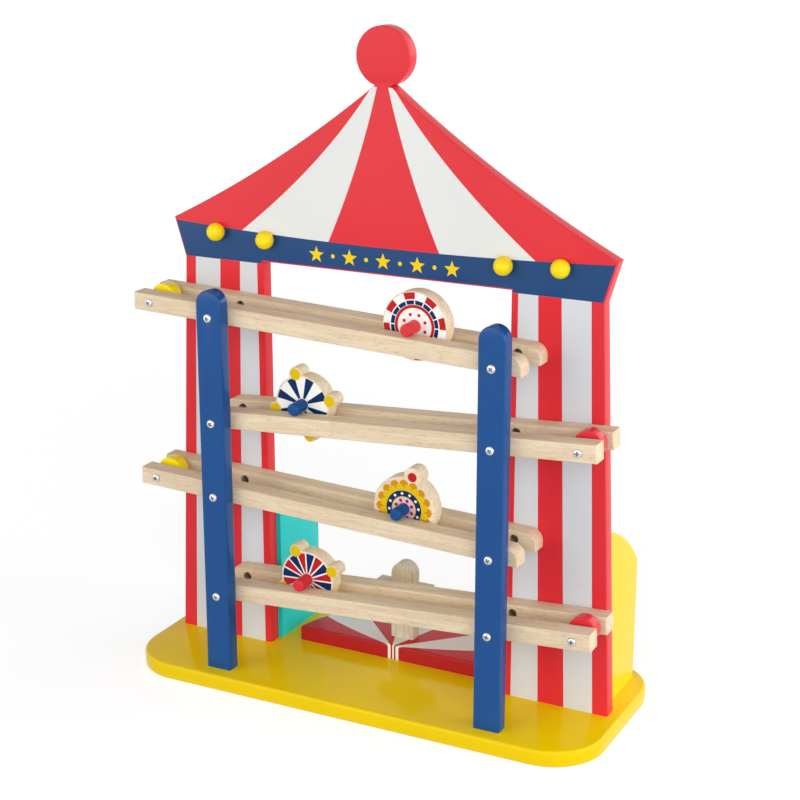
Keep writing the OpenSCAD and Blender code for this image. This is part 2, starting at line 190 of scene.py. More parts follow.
class NodeSheet:
    """Short calls that build one node tree."""

    SOFT = 0.25
    MIX_COLOURS = (0, 6, 7)
    MIX_RESULT = 2

    def __init__(self, tree: Tree) -> None:
        """Takes the tree to build in."""
        self.tree = tree

    @classmethod
    def blank(cls, owner: Union[Material, bpy.types.World]) -> "NodeSheet":
        """Empties the node tree of a material or world.

        Args:
            owner: The material or world.

        Returns:
            A sheet on its tree.
        """
        owner.use_nodes = True
        owner.node_tree.nodes.clear()
        return cls(owner.node_tree)

    def node(self, kind: str, **settings: object) -> Node:
        """Adds a node.

        Args:
            kind: Blender's node type.
            settings: Node properties to set.

        Returns:
            The new node.
        """
        made = self.tree.nodes.new(kind)
        for key, value in settings.items():
            setattr(made, key, value)
        return made

    def feed(self, socket: Socket, value: object) -> None:
        """Links a socket or sets its value.

        Args:
            socket: The input.
            value: A socket to link, or a value.
        """
        if isinstance(value, bpy.types.NodeSocket):
            self.tree.links.new(value, socket)
        else:
            socket.default_value = value

    def fill(self, node: Node, **inputs: object) -> Node:
        """Feeds a node's inputs by name.

        Args:
            node: The node.
            inputs: Values or sockets by input name, with _ for a space.

        Returns:
            The node.
        """
        for key, value in inputs.items():
            self.feed(node.inputs[key.replace("_", " ")], value)
        return node

    def math(self, operation: str, *values: Value, clamp: bool = False) -> Socket:
        """Adds a Math node.

        Args:
            operation: Math operation.
            values: Numbers or sockets for its inputs.
            clamp: Keeps the result from 0 to 1.

        Returns:
            The result.
        """
        made = self.node("ShaderNodeMath", operation=operation, use_clamp=clamp)
        for socket, value in zip(made.inputs, values):
            self.feed(socket, value)
        return made.outputs[0]

    def mix(self, factor: Value, low: Shade, high: Shade) -> Socket:
        """Blends two colours.

        Args:
            factor: 0 for the low colour, 1 for the high one.
            low: Colour at 0.
            high: Colour at 1.

        Returns:
            The blend.
        """
        made = self.node("ShaderNodeMix", data_type="RGBA")
        for index, value in zip(self.MIX_COLOURS, (factor, low, high)):
            self.feed(made.inputs[index], value)
        return made.outputs[self.MIX_RESULT]

    def layered(self, ground: Shade, *layers: tuple[Socket, Union[Ink, Socket]]) -> Shade:
        """Prints one colour over another.

        Args:
            ground: Colour at the bottom.
            layers: Mask and colour of each print, from the bottom up.

        Returns:
            The colour on top.
        """
        for mask, colour in layers:
            ground = self.mix(mask, ground, colour.rgba if isinstance(colour, Ink) else colour)
        return ground

    def toned(self, colour: Shade, value: Value, saturation: float = 1.0) -> Socket:
        """A colour with its brightness and its saturation scaled."""
        made = self.node("ShaderNodeHueSaturation")
        return self.fill(made, Color=colour, Value=value, Saturation=saturation).outputs[0]

    def group(self, tree: Tree, **inputs: object) -> bpy.types.bpy_prop_collection:
        """Places a node group, feeds its inputs by name and returns its outputs."""
        return self.fill(self.node("ShaderNodeGroup", node_tree=tree), **inputs).outputs

    def ramp(self, value: Value, *limits: float) -> Socket:
        """Maps a value from one range to another.

        Args:
            value: The value.
            limits: Low and high end of its range, then of the new one unless that is 0 to 1.

        Returns:
            The new value, clamped.
        """
        made = self.node("ShaderNodeMapRange", clamp=True)
        for socket, part in zip(made.inputs, (value, *limits)):
            self.feed(socket, part)
        return made.outputs[0]

    def noise(self, vector: Socket, scale: Value, detail: float = 3.0, distortion: float = 0.0) -> Socket:
        """Noise from 0 to 1 at a point."""
        made = self.node("ShaderNodeTexNoise")
        return self.fill(made, Vector=vector, Scale=scale, Detail=detail, Distortion=distortion).outputs[0]

    def mapped(self, vector: Socket, scale: Sequence[float], turn: Sequence[float] = (0, 0, 0)) -> Socket:
        """A vector turned and scaled by a Mapping node."""
        made = self.node("ShaderNodeMapping")
        return self.fill(made, Vector=vector, Rotation=turn, Scale=scale).outputs[0]

    def scaled(self, vector: Socket, factor: Value) -> Socket:
        """Scales a vector.

        Args:
            vector: The vector.
            factor: Number to scale it by.

        Returns:
            The longer or shorter vector.
        """
        made = self.node("ShaderNodeVectorMath", operation="SCALE")
        self.feed(made.inputs[0], vector)
        return self.fill(made, Scale=factor).outputs[0]

    def bump(self, height: Socket, strength: float, distance: float) -> Socket:
        """A normal shaped by a height from 0 to 1 that stands for a distance in metres."""
        made = self.node("ShaderNodeBump")
        return self.fill(made, Strength=strength, Distance=distance, Height=height).outputs[0]

    def mark(self, name: str) -> Socket:
        """A mark on the mesh's vertices, from 0 to 1."""
        return self.node("ShaderNodeAttribute", attribute_name=name).outputs["Fac"]

    def place(self) -> Socket:
        """Object coordinates in metres."""
        return self.node("ShaderNodeTexCoord").outputs["Object"]

    def place_mm(self) -> list[Socket]:
        """Object coordinates in millimetres.

        Returns:
            One socket an axis.
        """
        parts = self.node("ShaderNodeSeparateXYZ")
        self.feed(parts.inputs[0], self.scaled(self.place(), 1 / MM))
        return list(parts.outputs)

    def below(self, low: Value, high: Value) -> Socket:
        """Mask that is 1 where the first length is under the second."""
        gap = self.math("SUBTRACT", high, low)
        return self.math("MULTIPLY_ADD", gap, 1 / self.SOFT, 0.5, clamp=True)

    def both(self, *masks: Socket) -> Socket:
        """Mask that is 1 where all masks are."""
        return reduce(lambda a, b: self.math("MULTIPLY", a, b), masks)

    def either(self, *masks: Socket) -> Socket:
        """Mask that is 1 where any mask is."""
        return reduce(lambda a, b: self.math("MAXIMUM", a, b), masks)

    def between(self, low: Value, value: Value, high: Value) -> Socket:
        """Mask that is 1 from one length to another."""
        return self.both(self.below(low, value), self.below(value, high))

    def poly(self, value: Socket, a: float, b: float, c: float) -> Socket:
        """The value of a + b v + c v squared."""
        inner = self.math("MULTIPLY_ADD", value, c, b)
        return self.math("MULTIPLY_ADD", value, inner, a)

    def weigh(self, a: Socket, share_a: float, b: Socket, share_b: float) -> Socket:
        """Sum of two values by their shares."""
        return self.math("ADD", self.math("MULTIPLY", a, share_a), self.math("MULTIPLY", b, share_b))

    def length(self, a: Socket, b: Socket) -> Socket:
        """Length of a way with two sides at right angles."""
        square = self.math("ADD", self.math("MULTIPLY", a, a), self.math("MULTIPLY", b, b))
        return self.math("SQRT", square)

    def polar(self, dx: Socket, dz: Socket) -> tuple[Socket, Socket]:
        """Radius of a point, and its angle in degrees from X towards Z."""
        return self.length(dx, dz), self.math("DEGREES", self.math("ARCTAN2", dz, dx))

    def off_ray(self, angle: Socket, count: int, phase: float) -> Socket:
        """How far an angle is from the nearest of evenly spread rays.

        Args:
            angle: The angle in degrees.
            count: Number of rays.
            phase: Angle of one of them.

        Returns:
            The difference in degrees.
        """
        half = 180 / count
        turned = self.math("SUBTRACT", angle, phase)
        return self.math("ABSOLUTE", self.math("WRAP", turned, half, -half))

    def sides(self, radius: Socket, angle: Socket) -> list[Socket]:
        """How far a point lies along a ray and across it, from its angle in degrees."""
        turn = self.math("RADIANS", angle)
        return [self.math("MULTIPLY", radius, self.math(part, turn)) for part in ("COSINE", "SINE")]


class Dial:
    """Masks about the middle of a round print."""

    def __init__(self, s: NodeSheet, centre: Point) -> None:
        """Finds radius and angle about the middle.

        Args:
            s: The material's sheet.
            centre: X and Z of the middle.
        """
        self.s = s
        x, _, z = s.place_mm()
        self.r, self.angle = s.polar(s.math("SUBTRACT", x, centre[0]), s.math("SUBTRACT", z, centre[1]))

    def disc(self, radius: float) -> Socket:
        """Mask of all within a radius."""
        return self.s.below(self.r, radius)

    def ring(self, low: float, high: float) -> Socket:
        """Mask of all between two radii."""
        return self.s.between(low, self.r, high)

    def _off(self, count: int, phase: float) -> Socket:
        """Arc in millimetres from the nearest of evenly spread rays."""
        off = self.s.off_ray(self.angle, count, phase)
        return self.s.math("MULTIPLY", self.r, self.s.math("RADIANS", off))

    def wedges(self, count: int, phase: float, half: float) -> Socket:
        """Mask of wedges that reach some degrees to each side of evenly spread rays."""
        return self.s.below(self._off(count, phase), self.s.math("MULTIPLY", self.r, math.radians(half)))

    def off_lines(self, count: int, phase: float, width: float) -> Socket:
        """Mask of all but lines of some width on evenly spread rays."""
        return self.s.below(width / 2, self._off(count, phase))

    def dots(self, count: int, phase: float, pitch: float, size: float) -> Socket:
        """Mask of a wreath of dots.

        Args:
            count: Number of dots.
            phase: Angle of one of them in degrees.
            pitch: Radius of the wreath.
            size: Radius of a dot.

        Returns:
            The mask.
        """
        along, across = self.s.sides(self.r, self.s.off_ray(self.angle, count, phase))
        return self.s.below(self.s.length(self.s.math("SUBTRACT", along, pitch), across), size)


class GroupKit:
    """Shader groups that several finishes share, each built once."""

    BROAD = (5, 60, 60)
    FINE = (26, 760, 760)
    FLECKS = (150, 1100, 1100)
    RINGS = 34.0
    STREAK_SHARES = (0.22, 0.78)
    HEIGHT_SHARES = (0.6, -0.4)
    PORES = (0.56, 0.7)
    TONE_SCALE = 9.0
    GLOSS_SCALE = 34.0
    RUB_SCALE = 130.0
    RUB_PATCHES = (0.42, 0.7)
    RUB_EDGES = (0.25, 0.95)

    def __init__(self) -> None:
        """Builds the groups."""
        self.grain = self._grain()
        self.film = self._film()
        self.rub = self._rub()

    @staticmethod
    def _start(
        name: str, inputs: Sequence[str], outputs: Sequence[str]
    ) -> tuple[NodeSheet, bpy.types.bpy_prop_collection, Node]:
        """Opens a group.

        Args:
            name: Group name.
            inputs: Names of the float inputs that follow the vector.
            outputs: Names of the float outputs.

        Returns:
            The sheet, the given sockets and the output node.
        """
        tree = bpy.data.node_groups.new(name, "ShaderNodeTree")
        tree.interface.new_socket("Vector", in_out="INPUT", socket_type="NodeSocketVector")
        for way, keys in (("INPUT", inputs), ("OUTPUT", outputs)):
            for key in keys:
                tree.interface.new_socket(key, in_out=way, socket_type="NodeSocketFloat")
        sheet = NodeSheet(tree)
        return sheet, sheet.node("NodeGroupInput").outputs, sheet.node("NodeGroupOutput")

    def _grain(self) -> Tree:
        """Wood grain that runs along the vector's X.

        Returns:
            The group.
        """
        s, given, out = self._start("Wood grain", ("Fineness",), ("Streak", "Pore", "Height"))
        v = s.scaled(given["Vector"], given["Fineness"])
        broad = s.noise(s.mapped(v, self.BROAD), 1.0, detail=4.0, distortion=0.6)
        rings = s.math("SINE", s.math("MULTIPLY", broad, self.RINGS))
        rings = s.math("MULTIPLY_ADD", rings, 0.5, 0.5)
        fine = s.noise(s.mapped(v, self.FINE), 1.0, detail=5.0, distortion=0.2)
        streak = s.weigh(rings, self.STREAK_SHARES[0], fine, self.STREAK_SHARES[1])
        pore = s.ramp(s.noise(s.mapped(v, self.FLECKS), 1.0, detail=2.0), *self.PORES)
        height = s.weigh(streak, self.HEIGHT_SHARES[0], pore, self.HEIGHT_SHARES[1])
        s.fill(out, Streak=streak, Pore=pore, Height=height)
        return s.tree

    def _film(self) -> Tree:
        """A brushed or rolled paint film: slow tone, gloss patches and a fine peel.

        Returns:
            The group.
        """
        s, given, out = self._start("Paint film", ("Peel",), ("Tone", "Gloss", "Height"))
        v = given["Vector"]
        tone = s.noise(v, self.TONE_SCALE)
        gloss = s.noise(v, self.GLOSS_SCALE, detail=4.0)
        s.fill(out, Tone=tone, Gloss=gloss, Height=s.noise(v, given["Peel"], detail=2.0))
        return s.tree

    def _rub(self) -> Tree:
        """Where a rounded edge is rubbed thin.

        Returns:
            The group.
        """
        s, given, out = self._start("Edge rub", ("Edge", "Amount"), ("Mask",))
        patch = s.ramp(s.noise(given["Vector"], self.RUB_SCALE, detail=4.0), *self.RUB_PATCHES)
        s.fill(out, Mask=s.both(patch, s.ramp(given["Edge"], *self.RUB_EDGES), given["Amount"]))
        return s.tree


KIT = GroupKit()


# Printed motifs


class Motif:
    """A print on a ground colour."""

    def ink(self, s: NodeSheet, ground: Shade) -> Shade:
        """Returns the ground colour with the print on it."""
        return ground


@dataclass(frozen=True)
class TentMotif(Motif):
    """Roof stripes, blue band with stars and striped legs of the tent panel.

    The roof curves give the half width of the stripe edges by height above roof_start.
    """

    band_low: float = 349.7
    band_high: float = 373.3
    band_rise: float = 5.7
    band_reach: float = 193.0
    roof_start: float = 373.0
    inner: Point3 = (49.3, -0.462, 0.00086)
    outer: Point3 = (133.0, -1.29, 0.00243)
    roof_end: float = 498.5
    head: float = 348.5
    stripes_head: tuple[float, ...] = (115.8, 132.2, 151.2, 175.1)
    stripes_foot: tuple[float, ...] = (116.1, 139.9, 162.5, 187.0)
    star_points: int = 5
    star_pitch: float = 30.0
    star_z: float = 362.4
    star_r: float = 7.0
    star_in: float = 0.42
    star_reach: float = 68.0
    bead_r: float = 1.7

    def ink(self, s: NodeSheet, ground: Shade) -> Shade:
        """Prints roof, band and legs.

        Args:
            s: The material's sheet.
            ground: Colour that the print lies on.

        Returns:
            The colour with the print on it.
        """
        x, _, z = s.place_mm()
        u = s.math("ABSOLUTE", x)
        rise = s.math("SUBTRACT", z, self.roof_start)
        roof = s.both(
            s.between(s.poly(rise, *self.inner), u, s.poly(rise, *self.outer)),
            s.between(self.band_low, z, self.roof_end),
        )
        drop = s.ramp(z, self.head, LAYOUT.base_t)
        ends = zip(self.stripes_head, self.stripes_foot)
        edges = [s.math("MULTIPLY_ADD", drop, low - top, top) for top, low in ends]
        pale = s.either(s.between(edges[0], u, edges[1]), s.between(edges[2], u, edges[3]))
        leg = s.both(s.below(LAYOUT.window_half, u), s.below(z, self.band_low))
        share = s.math("DIVIDE", u, self.band_reach)
        top = s.math("MULTIPLY_ADD", s.math("MULTIPLY", share, share), self.band_rise, self.band_high)
        return s.layered(
            ground,
            # The leg stripes use the darker, cooler white, which paints their shade.
            (s.both(pale, leg), Ink.LEG_WHITE),
            (roof, Ink.WHITE),
            (s.between(self.band_low, z, top), Ink.BAND_BLUE),
            (self._stars(s, x, u, z), Ink.YELLOW),
        )

    def _stars(self, s: NodeSheet, x: Socket, u: Socket, z: Socket) -> Socket:
        """A row of stars with a bead between each two.

        Args:
            s: The material's sheet.
            x: Place along the band in millimetres.
            u: Distance from the middle.
            z: Height.

        Returns:
            The mask.
        """
        half = self.star_pitch / 2
        dz = s.math("SUBTRACT", z, self.star_z)
        radius, angle = s.polar(s.math("WRAP", x, half, -half), dz)
        along, across = s.sides(radius, s.off_ray(angle, self.star_points, 90.0))
        notch_r, step = self.star_r * self.star_in, math.pi / self.star_points
        run, rise = notch_r * math.cos(step) - self.star_r, notch_r * math.sin(step)
        edge = math.hypot(run, rise)
        past = s.math("SUBTRACT", along, self.star_r)
        star = s.below(s.weigh(past, rise / edge, across, -run / edge), 0.0)
        bead = s.length(s.math("WRAP", s.math("ADD", x, half), half, -half), dz)
        return s.both(s.either(star, s.below(bead, self.bead_r)), s.below(u, self.star_reach))


@dataclass(frozen=True)
class StageMotif(Motif):
    """White rays that fan out over the stage from its front edge and run down that edge."""

    starts: tuple[float, ...] = (0.75, 2.35, 5.0)
    spreads: tuple[float, ...] = (0.348, 0.99, 3.4)
    bends: tuple[float, ...] = (0.0, 0.0, -0.027)

    def ink(self, s: NodeSheet, ground: Shade) -> Shade:
        """Prints the rays.

        Args:
            s: The material's sheet.
            ground: Colour that the print lies on.

        Returns:
            The colour with the print on it.
        """
        x, y, _ = s.place_mm()
        u = s.math("ABSOLUTE", x)
        depth = s.math("MAXIMUM", s.math("SUBTRACT", y, LAYOUT.stage_front), 0.0)
        edges = [s.poly(depth, *parts) for parts in zip(self.starts, self.spreads, self.bends)]
        pale = s.either(s.below(u, edges[0]), s.between(edges[1], u, edges[2]))
        return s.layered(ground, (pale, Ink.STAGE_WHITE))


@dataclass(frozen=True)
class RingMotif(Motif):
    """Rings of blocks and dashes round a white middle with a wreath of dots."""

    centre: Point
    edge: float = 26.9
    blocks: int = 8
    block_in: float = 21.3
    block_phase: float = 10.5
    block_half: float = 11.0
    dashes: int = 16
    dash: Point = (17.2, 20.4)
    dash_gap: float = 0.9
    ring: Point = (14.4, 16.9)
    dots: int = 8
    dot_pitch: float = 9.6
    dot_r: float = 1.35

    def ink(self, s: NodeSheet, ground: Shade) -> Shade:
        """Prints the rings.

        Args:
            s: The material's sheet.
            ground: Colour that the print lies on.

        Returns:
            The colour with the print on it.
        """
        dial = Dial(s, self.centre)
        block = dial.wedges(self.blocks, self.block_phase, self.block_half)
        block = s.both(block, dial.ring(self.block_in, self.edge))
        dash = s.both(dial.off_lines(self.dashes, 0.0, self.dash_gap), dial.ring(*self.dash))
        dots = dial.dots(self.dots, 180 / self.dots, self.dot_pitch, self.dot_r)
        return s.layered(
            ground,
            (dial.disc(self.edge), Ink.PRINT_WHITE),
            (s.either(block, dial.ring(*self.ring), dots), Ink.PRINT_RED),
            (dash, Ink.NAVY),
        )


class Fan(Enum):
    """How the spokes of a fair wheel print are filled."""

    SPOKES = "blue spokes on white"
    WEDGES = "red and navy wedges with pale gaps"


@dataclass(frozen=True)
class WheelMotif(Motif):
    """Fair wheel print: a fan of spokes and yellow cabin fronts."""

    centre: Point
    fan: Fan
    phase: float
    cabin_turn: float
    edge: float = 22.9
    margin: float = 0.5
    hub: float = 5.6
    spokes: int = 8
    spoke: float = 20.0
    gap: float = 1.25
    cabins: int = 4
    cabin_pitch: float = 25.8
    cabin_r: float = 5.15

    def ink(self, s: NodeSheet, ground: Shade) -> Shade:
        """Prints the fan and the cabins.

        Args:
            s: The material's sheet.
            ground: Colour that the print lies on.

        Returns:
            The colour with the print on it.
        """
        dial = Dial(s, self.centre)
        reach = dial.ring(self.hub, self.edge)
        if self.fan is Fan.SPOKES:
            white = dial.disc(self.edge)
            fill = dial.wedges(self.spokes, self.phase, self.spoke / 2)
            colour = Ink.NAVY
        else:
            half = 90 / self.spokes
            white = dial.disc(self.edge + self.margin)
            fill = dial.off_lines(2 * self.spokes, self.phase + half, self.gap)
            navy = dial.wedges(self.spokes, self.phase, half)
            colour = s.mix(navy, Ink.PRINT_RED.rgba, Ink.NAVY.rgba)
        return s.layered(
            ground,
            (white, Ink.PRINT_WHITE),
            (s.both(fill, reach), colour),
            (dial.dots(self.cabins, self.cabin_turn, self.cabin_pitch, self.cabin_r), Ink.PRINT_YELLOW),
        )


@dataclass(frozen=True)
class RosetteMotif(Motif):
    """Scalloped rosette with a dotted ring, and a red dot on the lobe."""

    centre: Point
    lobe_turn: float
    lobe_pitch: float = 28.5
    lobe_dot: float = 3.9
    scallops: int = 16
    outer: float = 20.6
    outer_r: float = 3.9
    inner: float = 18.2
    inner_r: float = 3.12
    ring: Point = (10.6, 15.4)
    dots: int = 12
    dot_phase: float = 7.0
    dot_r: float = 1.15
    middle: float = 9.9
    petals: int = 8
    petal_pitch: float = 7.4
    petal_r: float = 1.5

    def ink(self, s: NodeSheet, ground: Shade) -> Shade:
        """Prints the rosette.

        Args:
            s: The material's sheet.
            ground: Colour that the print lies on.

        Returns:
            The colour with the print on it.
        """
        dial = Dial(s, self.centre)
        outer = dial.dots(self.scallops, 0.0, self.outer, self.outer_r)
        inner = dial.dots(self.scallops, 180 / self.scallops, self.inner, self.inner_r)
        dots = dial.dots(self.dots, self.dot_phase, sum(self.ring) / 2, self.dot_r)
        petals = dial.dots(self.petals, 180 / self.petals, self.petal_pitch, self.petal_r)
        lobe = dial.dots(1, self.lobe_turn, self.lobe_pitch, self.lobe_dot)
        return s.layered(
            ground,
            (s.either(outer, dial.disc(self.outer)), Ink.ORANGE),
            (s.either(inner, dial.disc(self.inner)), Ink.PRINT_YELLOW),
            (dial.ring(*self.ring), Ink.NAVY),
            (dots, Ink.PRINT_WHITE),
            (dial.disc(self.middle), Ink.LILAC),
            (petals, Ink.PRINT_RED),
            (lobe, Ink.PRINT_RED),
        )


# Finishes


@dataclass(frozen=True)
class Finish:
    """A named material with an optional print."""

    name: str
    ink: Ink
    motif: Motif = Motif()

    def make(self) -> Material:
        """Builds the material.

        Returns:
            The material.
        """
        material = bpy.data.materials.new(self.name)
        s = NodeSheet.blank(material)
        shader = s.fill(s.node("ShaderNodeBsdfPrincipled"), **self.inputs(s))
        s.fill(s.node("ShaderNodeOutputMaterial"), Surface=shader.outputs[0])
        return material

    def inputs(self, s: NodeSheet) -> dict[str, object]:
        """Inputs of the Principled shader by name."""
        return {"Base_Color": self.motif.ink(s, self.ink.rgba)}


@dataclass(frozen=True)
class PaintFinish(Finish):
    """Satin or gloss paint on sanded wood."""

    rough: float = 0.3
    spread: float = 0.08
    sheen: float = 0.15
    coat: float = 0.03
    coat_rough: float = 0.1
    peel: float = 350.0
    worn: float = 0.14
    worn_look: Point = (1.1, 0.94)
    tones: Point = (0.94, 1.06)
    noisy: Point = (0.1, 0.9)
    bump: Point = (0.04, 0.00003)

    def inputs(self, s: NodeSheet) -> dict[str, object]:
        """Inputs of the Principled shader.

        Args:
            s: The material's sheet.

        Returns:
            Values and sockets by input name, with _ for a space.
        """
        here = s.place()
        film = s.group(KIT.film, Vector=here, Peel=self.peel)
        colour = self.motif.ink(s, self.ink.rgba)
        shade = s.toned(colour, s.ramp(film["Tone"], *self.noisy, *self.tones))
        rub = s.group(KIT.rub, Vector=here, Edge=s.mark("edge"), Amount=self.worn)
        low, high = self.rough - self.spread / 2, self.rough + self.spread / 2
        return {
            "Base_Color": s.layered(shade, (rub["Mask"], s.toned(shade, *self.worn_look))),
            "Roughness": s.ramp(film["Gloss"], *self.noisy, low, high),
            "Specular_IOR_Level": self.sheen,
            "Coat_Weight": self.coat,
            "Coat_Roughness": self.coat_rough,
            "Normal": s.bump(film["Height"], *self.bump),
        }


@dataclass(frozen=True)
class WoodFinish(Finish):
    """Bare sanded wood; the turn leads its grain along X."""

    dark: Ink = Ink.DARK_WOOD
    turn: Point3 = (0.0, 0.0, 0.0)
    fineness: float = 1.0
    rough: Limits = (0.2, 0.9, 0.49, 0.63)
    sheen: float = 0.3
    streaks: Limits = (0.34, 0.72, 0.0, 0.45)
    pores: float = 0.6
    patch_scale: float = 16.0
    patches: Limits = (0.3, 0.7, 0.96, 1.03)
    handled: float = 0.3
    hole_shade: float = 0.85
    bump: Point = (0.3, 0.00012)

    def inputs(self, s: NodeSheet) -> dict[str, object]:
        """Inputs of the Principled shader.

        Args:
            s: The material's sheet.

        Returns:
            Values and sockets by input name, with _ for a space.
        """
        here = s.place()
        grain = s.group(KIT.grain, Vector=s.mapped(here, (1, 1, 1), self.turn), Fineness=self.fineness)
        wood = s.layered(
            self.ink.rgba,
            (s.ramp(grain["Streak"], *self.streaks), self.dark),
            (s.math("MULTIPLY", grain["Pore"], self.pores), self.dark),
        )
        wood = s.toned(wood, s.ramp(s.noise(here, self.patch_scale, detail=2.0), *self.patches))
        rub = s.group(KIT.rub, Vector=here, Edge=s.mark("edge"), Amount=self.handled)
        # Painted shade: blind holes darken towards their floor, into a near-black shade colour.
        deep = s.math("MULTIPLY", s.mark("grime"), self.hole_shade)
        wood = s.layered(wood, (rub["Mask"], self.dark), (deep, Ink.GRIME))
        return {
            "Base_Color": self.motif.ink(s, wood),
            "Roughness": s.ramp(grain["Streak"], *self.rough),
            "Specular_IOR_Level": self.sheen,
            "Normal": s.bump(grain["Height"], *self.bump),
        }


@dataclass(frozen=True)
class SteelFinish(Finish):
    """Bright zinc on a screw, with faint turning marks and painted shade in its cross recess."""

    rough: Limits = (0.3, 0.7, 0.23, 0.39)
    metal: float = 0.7
    mark_scale: float = 1600.0
    peel: float = 2600.0
    tones: Limits = (0.3, 0.7, 0.88, 1.08)
    recess_shade: float = 0.65
    bump: Point = (0.15, 0.00004)

    def inputs(self, s: NodeSheet) -> dict[str, object]:
        """Inputs of the Principled shader.

        Args:
            s: The material's sheet.

        Returns:
            Values and sockets by input name, with _ for a space.
        """
        here = s.place()
        film = s.group(KIT.film, Vector=here, Peel=self.peel)
        shade = s.toned(self.ink.rgba, s.ramp(film["Height"], *self.tones))
        # Painted shade: the floor of the cross recess is darkened towards a near-black shade colour.
        recess_shade = s.math("MULTIPLY", s.mark("grime"), self.recess_shade)
        return {
            "Base_Color": s.layered(shade, (recess_shade, Ink.GRIME)),
            "Metallic": self.metal,
            "Roughness": s.ramp(s.noise(here, self.mark_scale), *self.rough),
            "Normal": s.bump(film["Height"], *self.bump),
        }


# Mesh building


def offset(loop: Sequence[Point], inset: Sequence[float], straight: float = 0.3) -> list[Point]:
    """Moves each edge of a loop to its left and joins the edges again.

    Args:
        loop: Points in order.
        inset: Distance for the edge that starts at each point.
        straight: Sine of the bend below which two edges count as one.

    Returns:
        The moved points.
    """
    moved = []
    count = len(loop)
    for i, p in enumerate(loop):
        a, b = loop[i - 1], loop[(i + 1) % count]
        e1 = Vector((p[0] - a[0], p[1] - a[1])).normalized()
        e2 = Vector((b[0] - p[0], b[1] - p[1])).normalized()
        n1, n2 = Vector((-e1.y, e1.x)), Vector((-e2.y, e2.x))
        d1, d2 = inset[i - 1], inset[i]
        cross = n1.x * n2.y - n1.y * n2.x
        if abs(cross) < straight and n1.dot(n2) > 0:
            middle = n1 + n2
            step = middle * (d1 + d2) / middle.length_squared
        else:
            step = Vector(((d1 * n2.y - d2 * n1.y) / cross, (d2 * n1.x - d1 * n2.x) / cross))
        moved.append((p[0] + step.x, p[1] + step.y))
    return moved


def area(loop: Sequence[Point]) -> float:
    """Signed area of a loop, positive when it runs counter-clockwise."""
    return sum(p[0] * q[1] - q[0] * p[1] for p, q in zip(loop, [*loop[1:], loop[0]])) / 2


def arc_points(centre: Point, radius: float, start: float, end: float, steps: int) -> list[Point]:
    """Points of an arc, both ends included.

    Args:
        centre: Middle of the arc.
        radius: Its radius.
        start: First angle in degrees.
        end: Last angle in degrees.
        steps: Number of chords.

    Returns:
        The points in order.
    """
    angles = (math.radians(start + (end - start) * i / steps) for i in range(steps + 1))
    return [(centre[0] + radius * math.cos(t), centre[1] + radius * math.sin(t)) for t in angles]


def arc_between(centre: Point, start: Point, end: Point, steps: int) -> list[Point]:
    """Points of an arc about a centre from one point to another, less than half a turn."""
    angles = [math.degrees(math.atan2(p[1] - centre[1], p[0] - centre[0])) for p in (start, end)]
    return arc_points(centre, math.dist(centre, start), *angles, steps)


def circle(centre: Point, radius: float, steps: int = 48) -> list[Point]:
    """Points of a full circle, counter-clockwise."""
    return arc_points(centre, radius, 0, 360, steps)[:-1]


def free_edge(foot: float, back: float = -math.inf) -> Share:
    """Tells which edges of a board are rounded.

    Args:
        foot: V of the edge that it stands on.
        back: U of the edge that it leans on, if any.

    Returns:
        A function that gives 0 for those edges and 1 for others.
    """
    return lambda p, q: float(max(p[1], q[1]) > foot + TOUCH and max(p[0], q[0]) > back + TOUCH)


def skin(bm: BMesh, rings: Sequence[list], slot: int = 0, smooth: bool = True) -> None:
    """Joins rings of vertices by faces.

    Args:
        bm: Mesh to build in.
        rings: Vertices of each ring, or one vertex for a tip.
        slot: Material slot.
        smooth: True for faces that shade round.
    """
    for a, b in zip(rings, rings[1:]):
        count = max(len(a), len(b))
        for i in range(count):
            j = (i + 1) % count
            corners = (a[i % len(a)], a[j % len(a)], b[j % len(b)], b[i % len(b)])
            face = bm.faces.new(list(dict.fromkeys(corners)))
            face.material_index = slot
            face.smooth = smooth


@dataclass(frozen=True)
class Hole:
    """A round hole in a board's front. A depth of 0 goes right through."""

    centre: Point
    radius: float
    depth: float = 0.0
    lip: float = 0.25


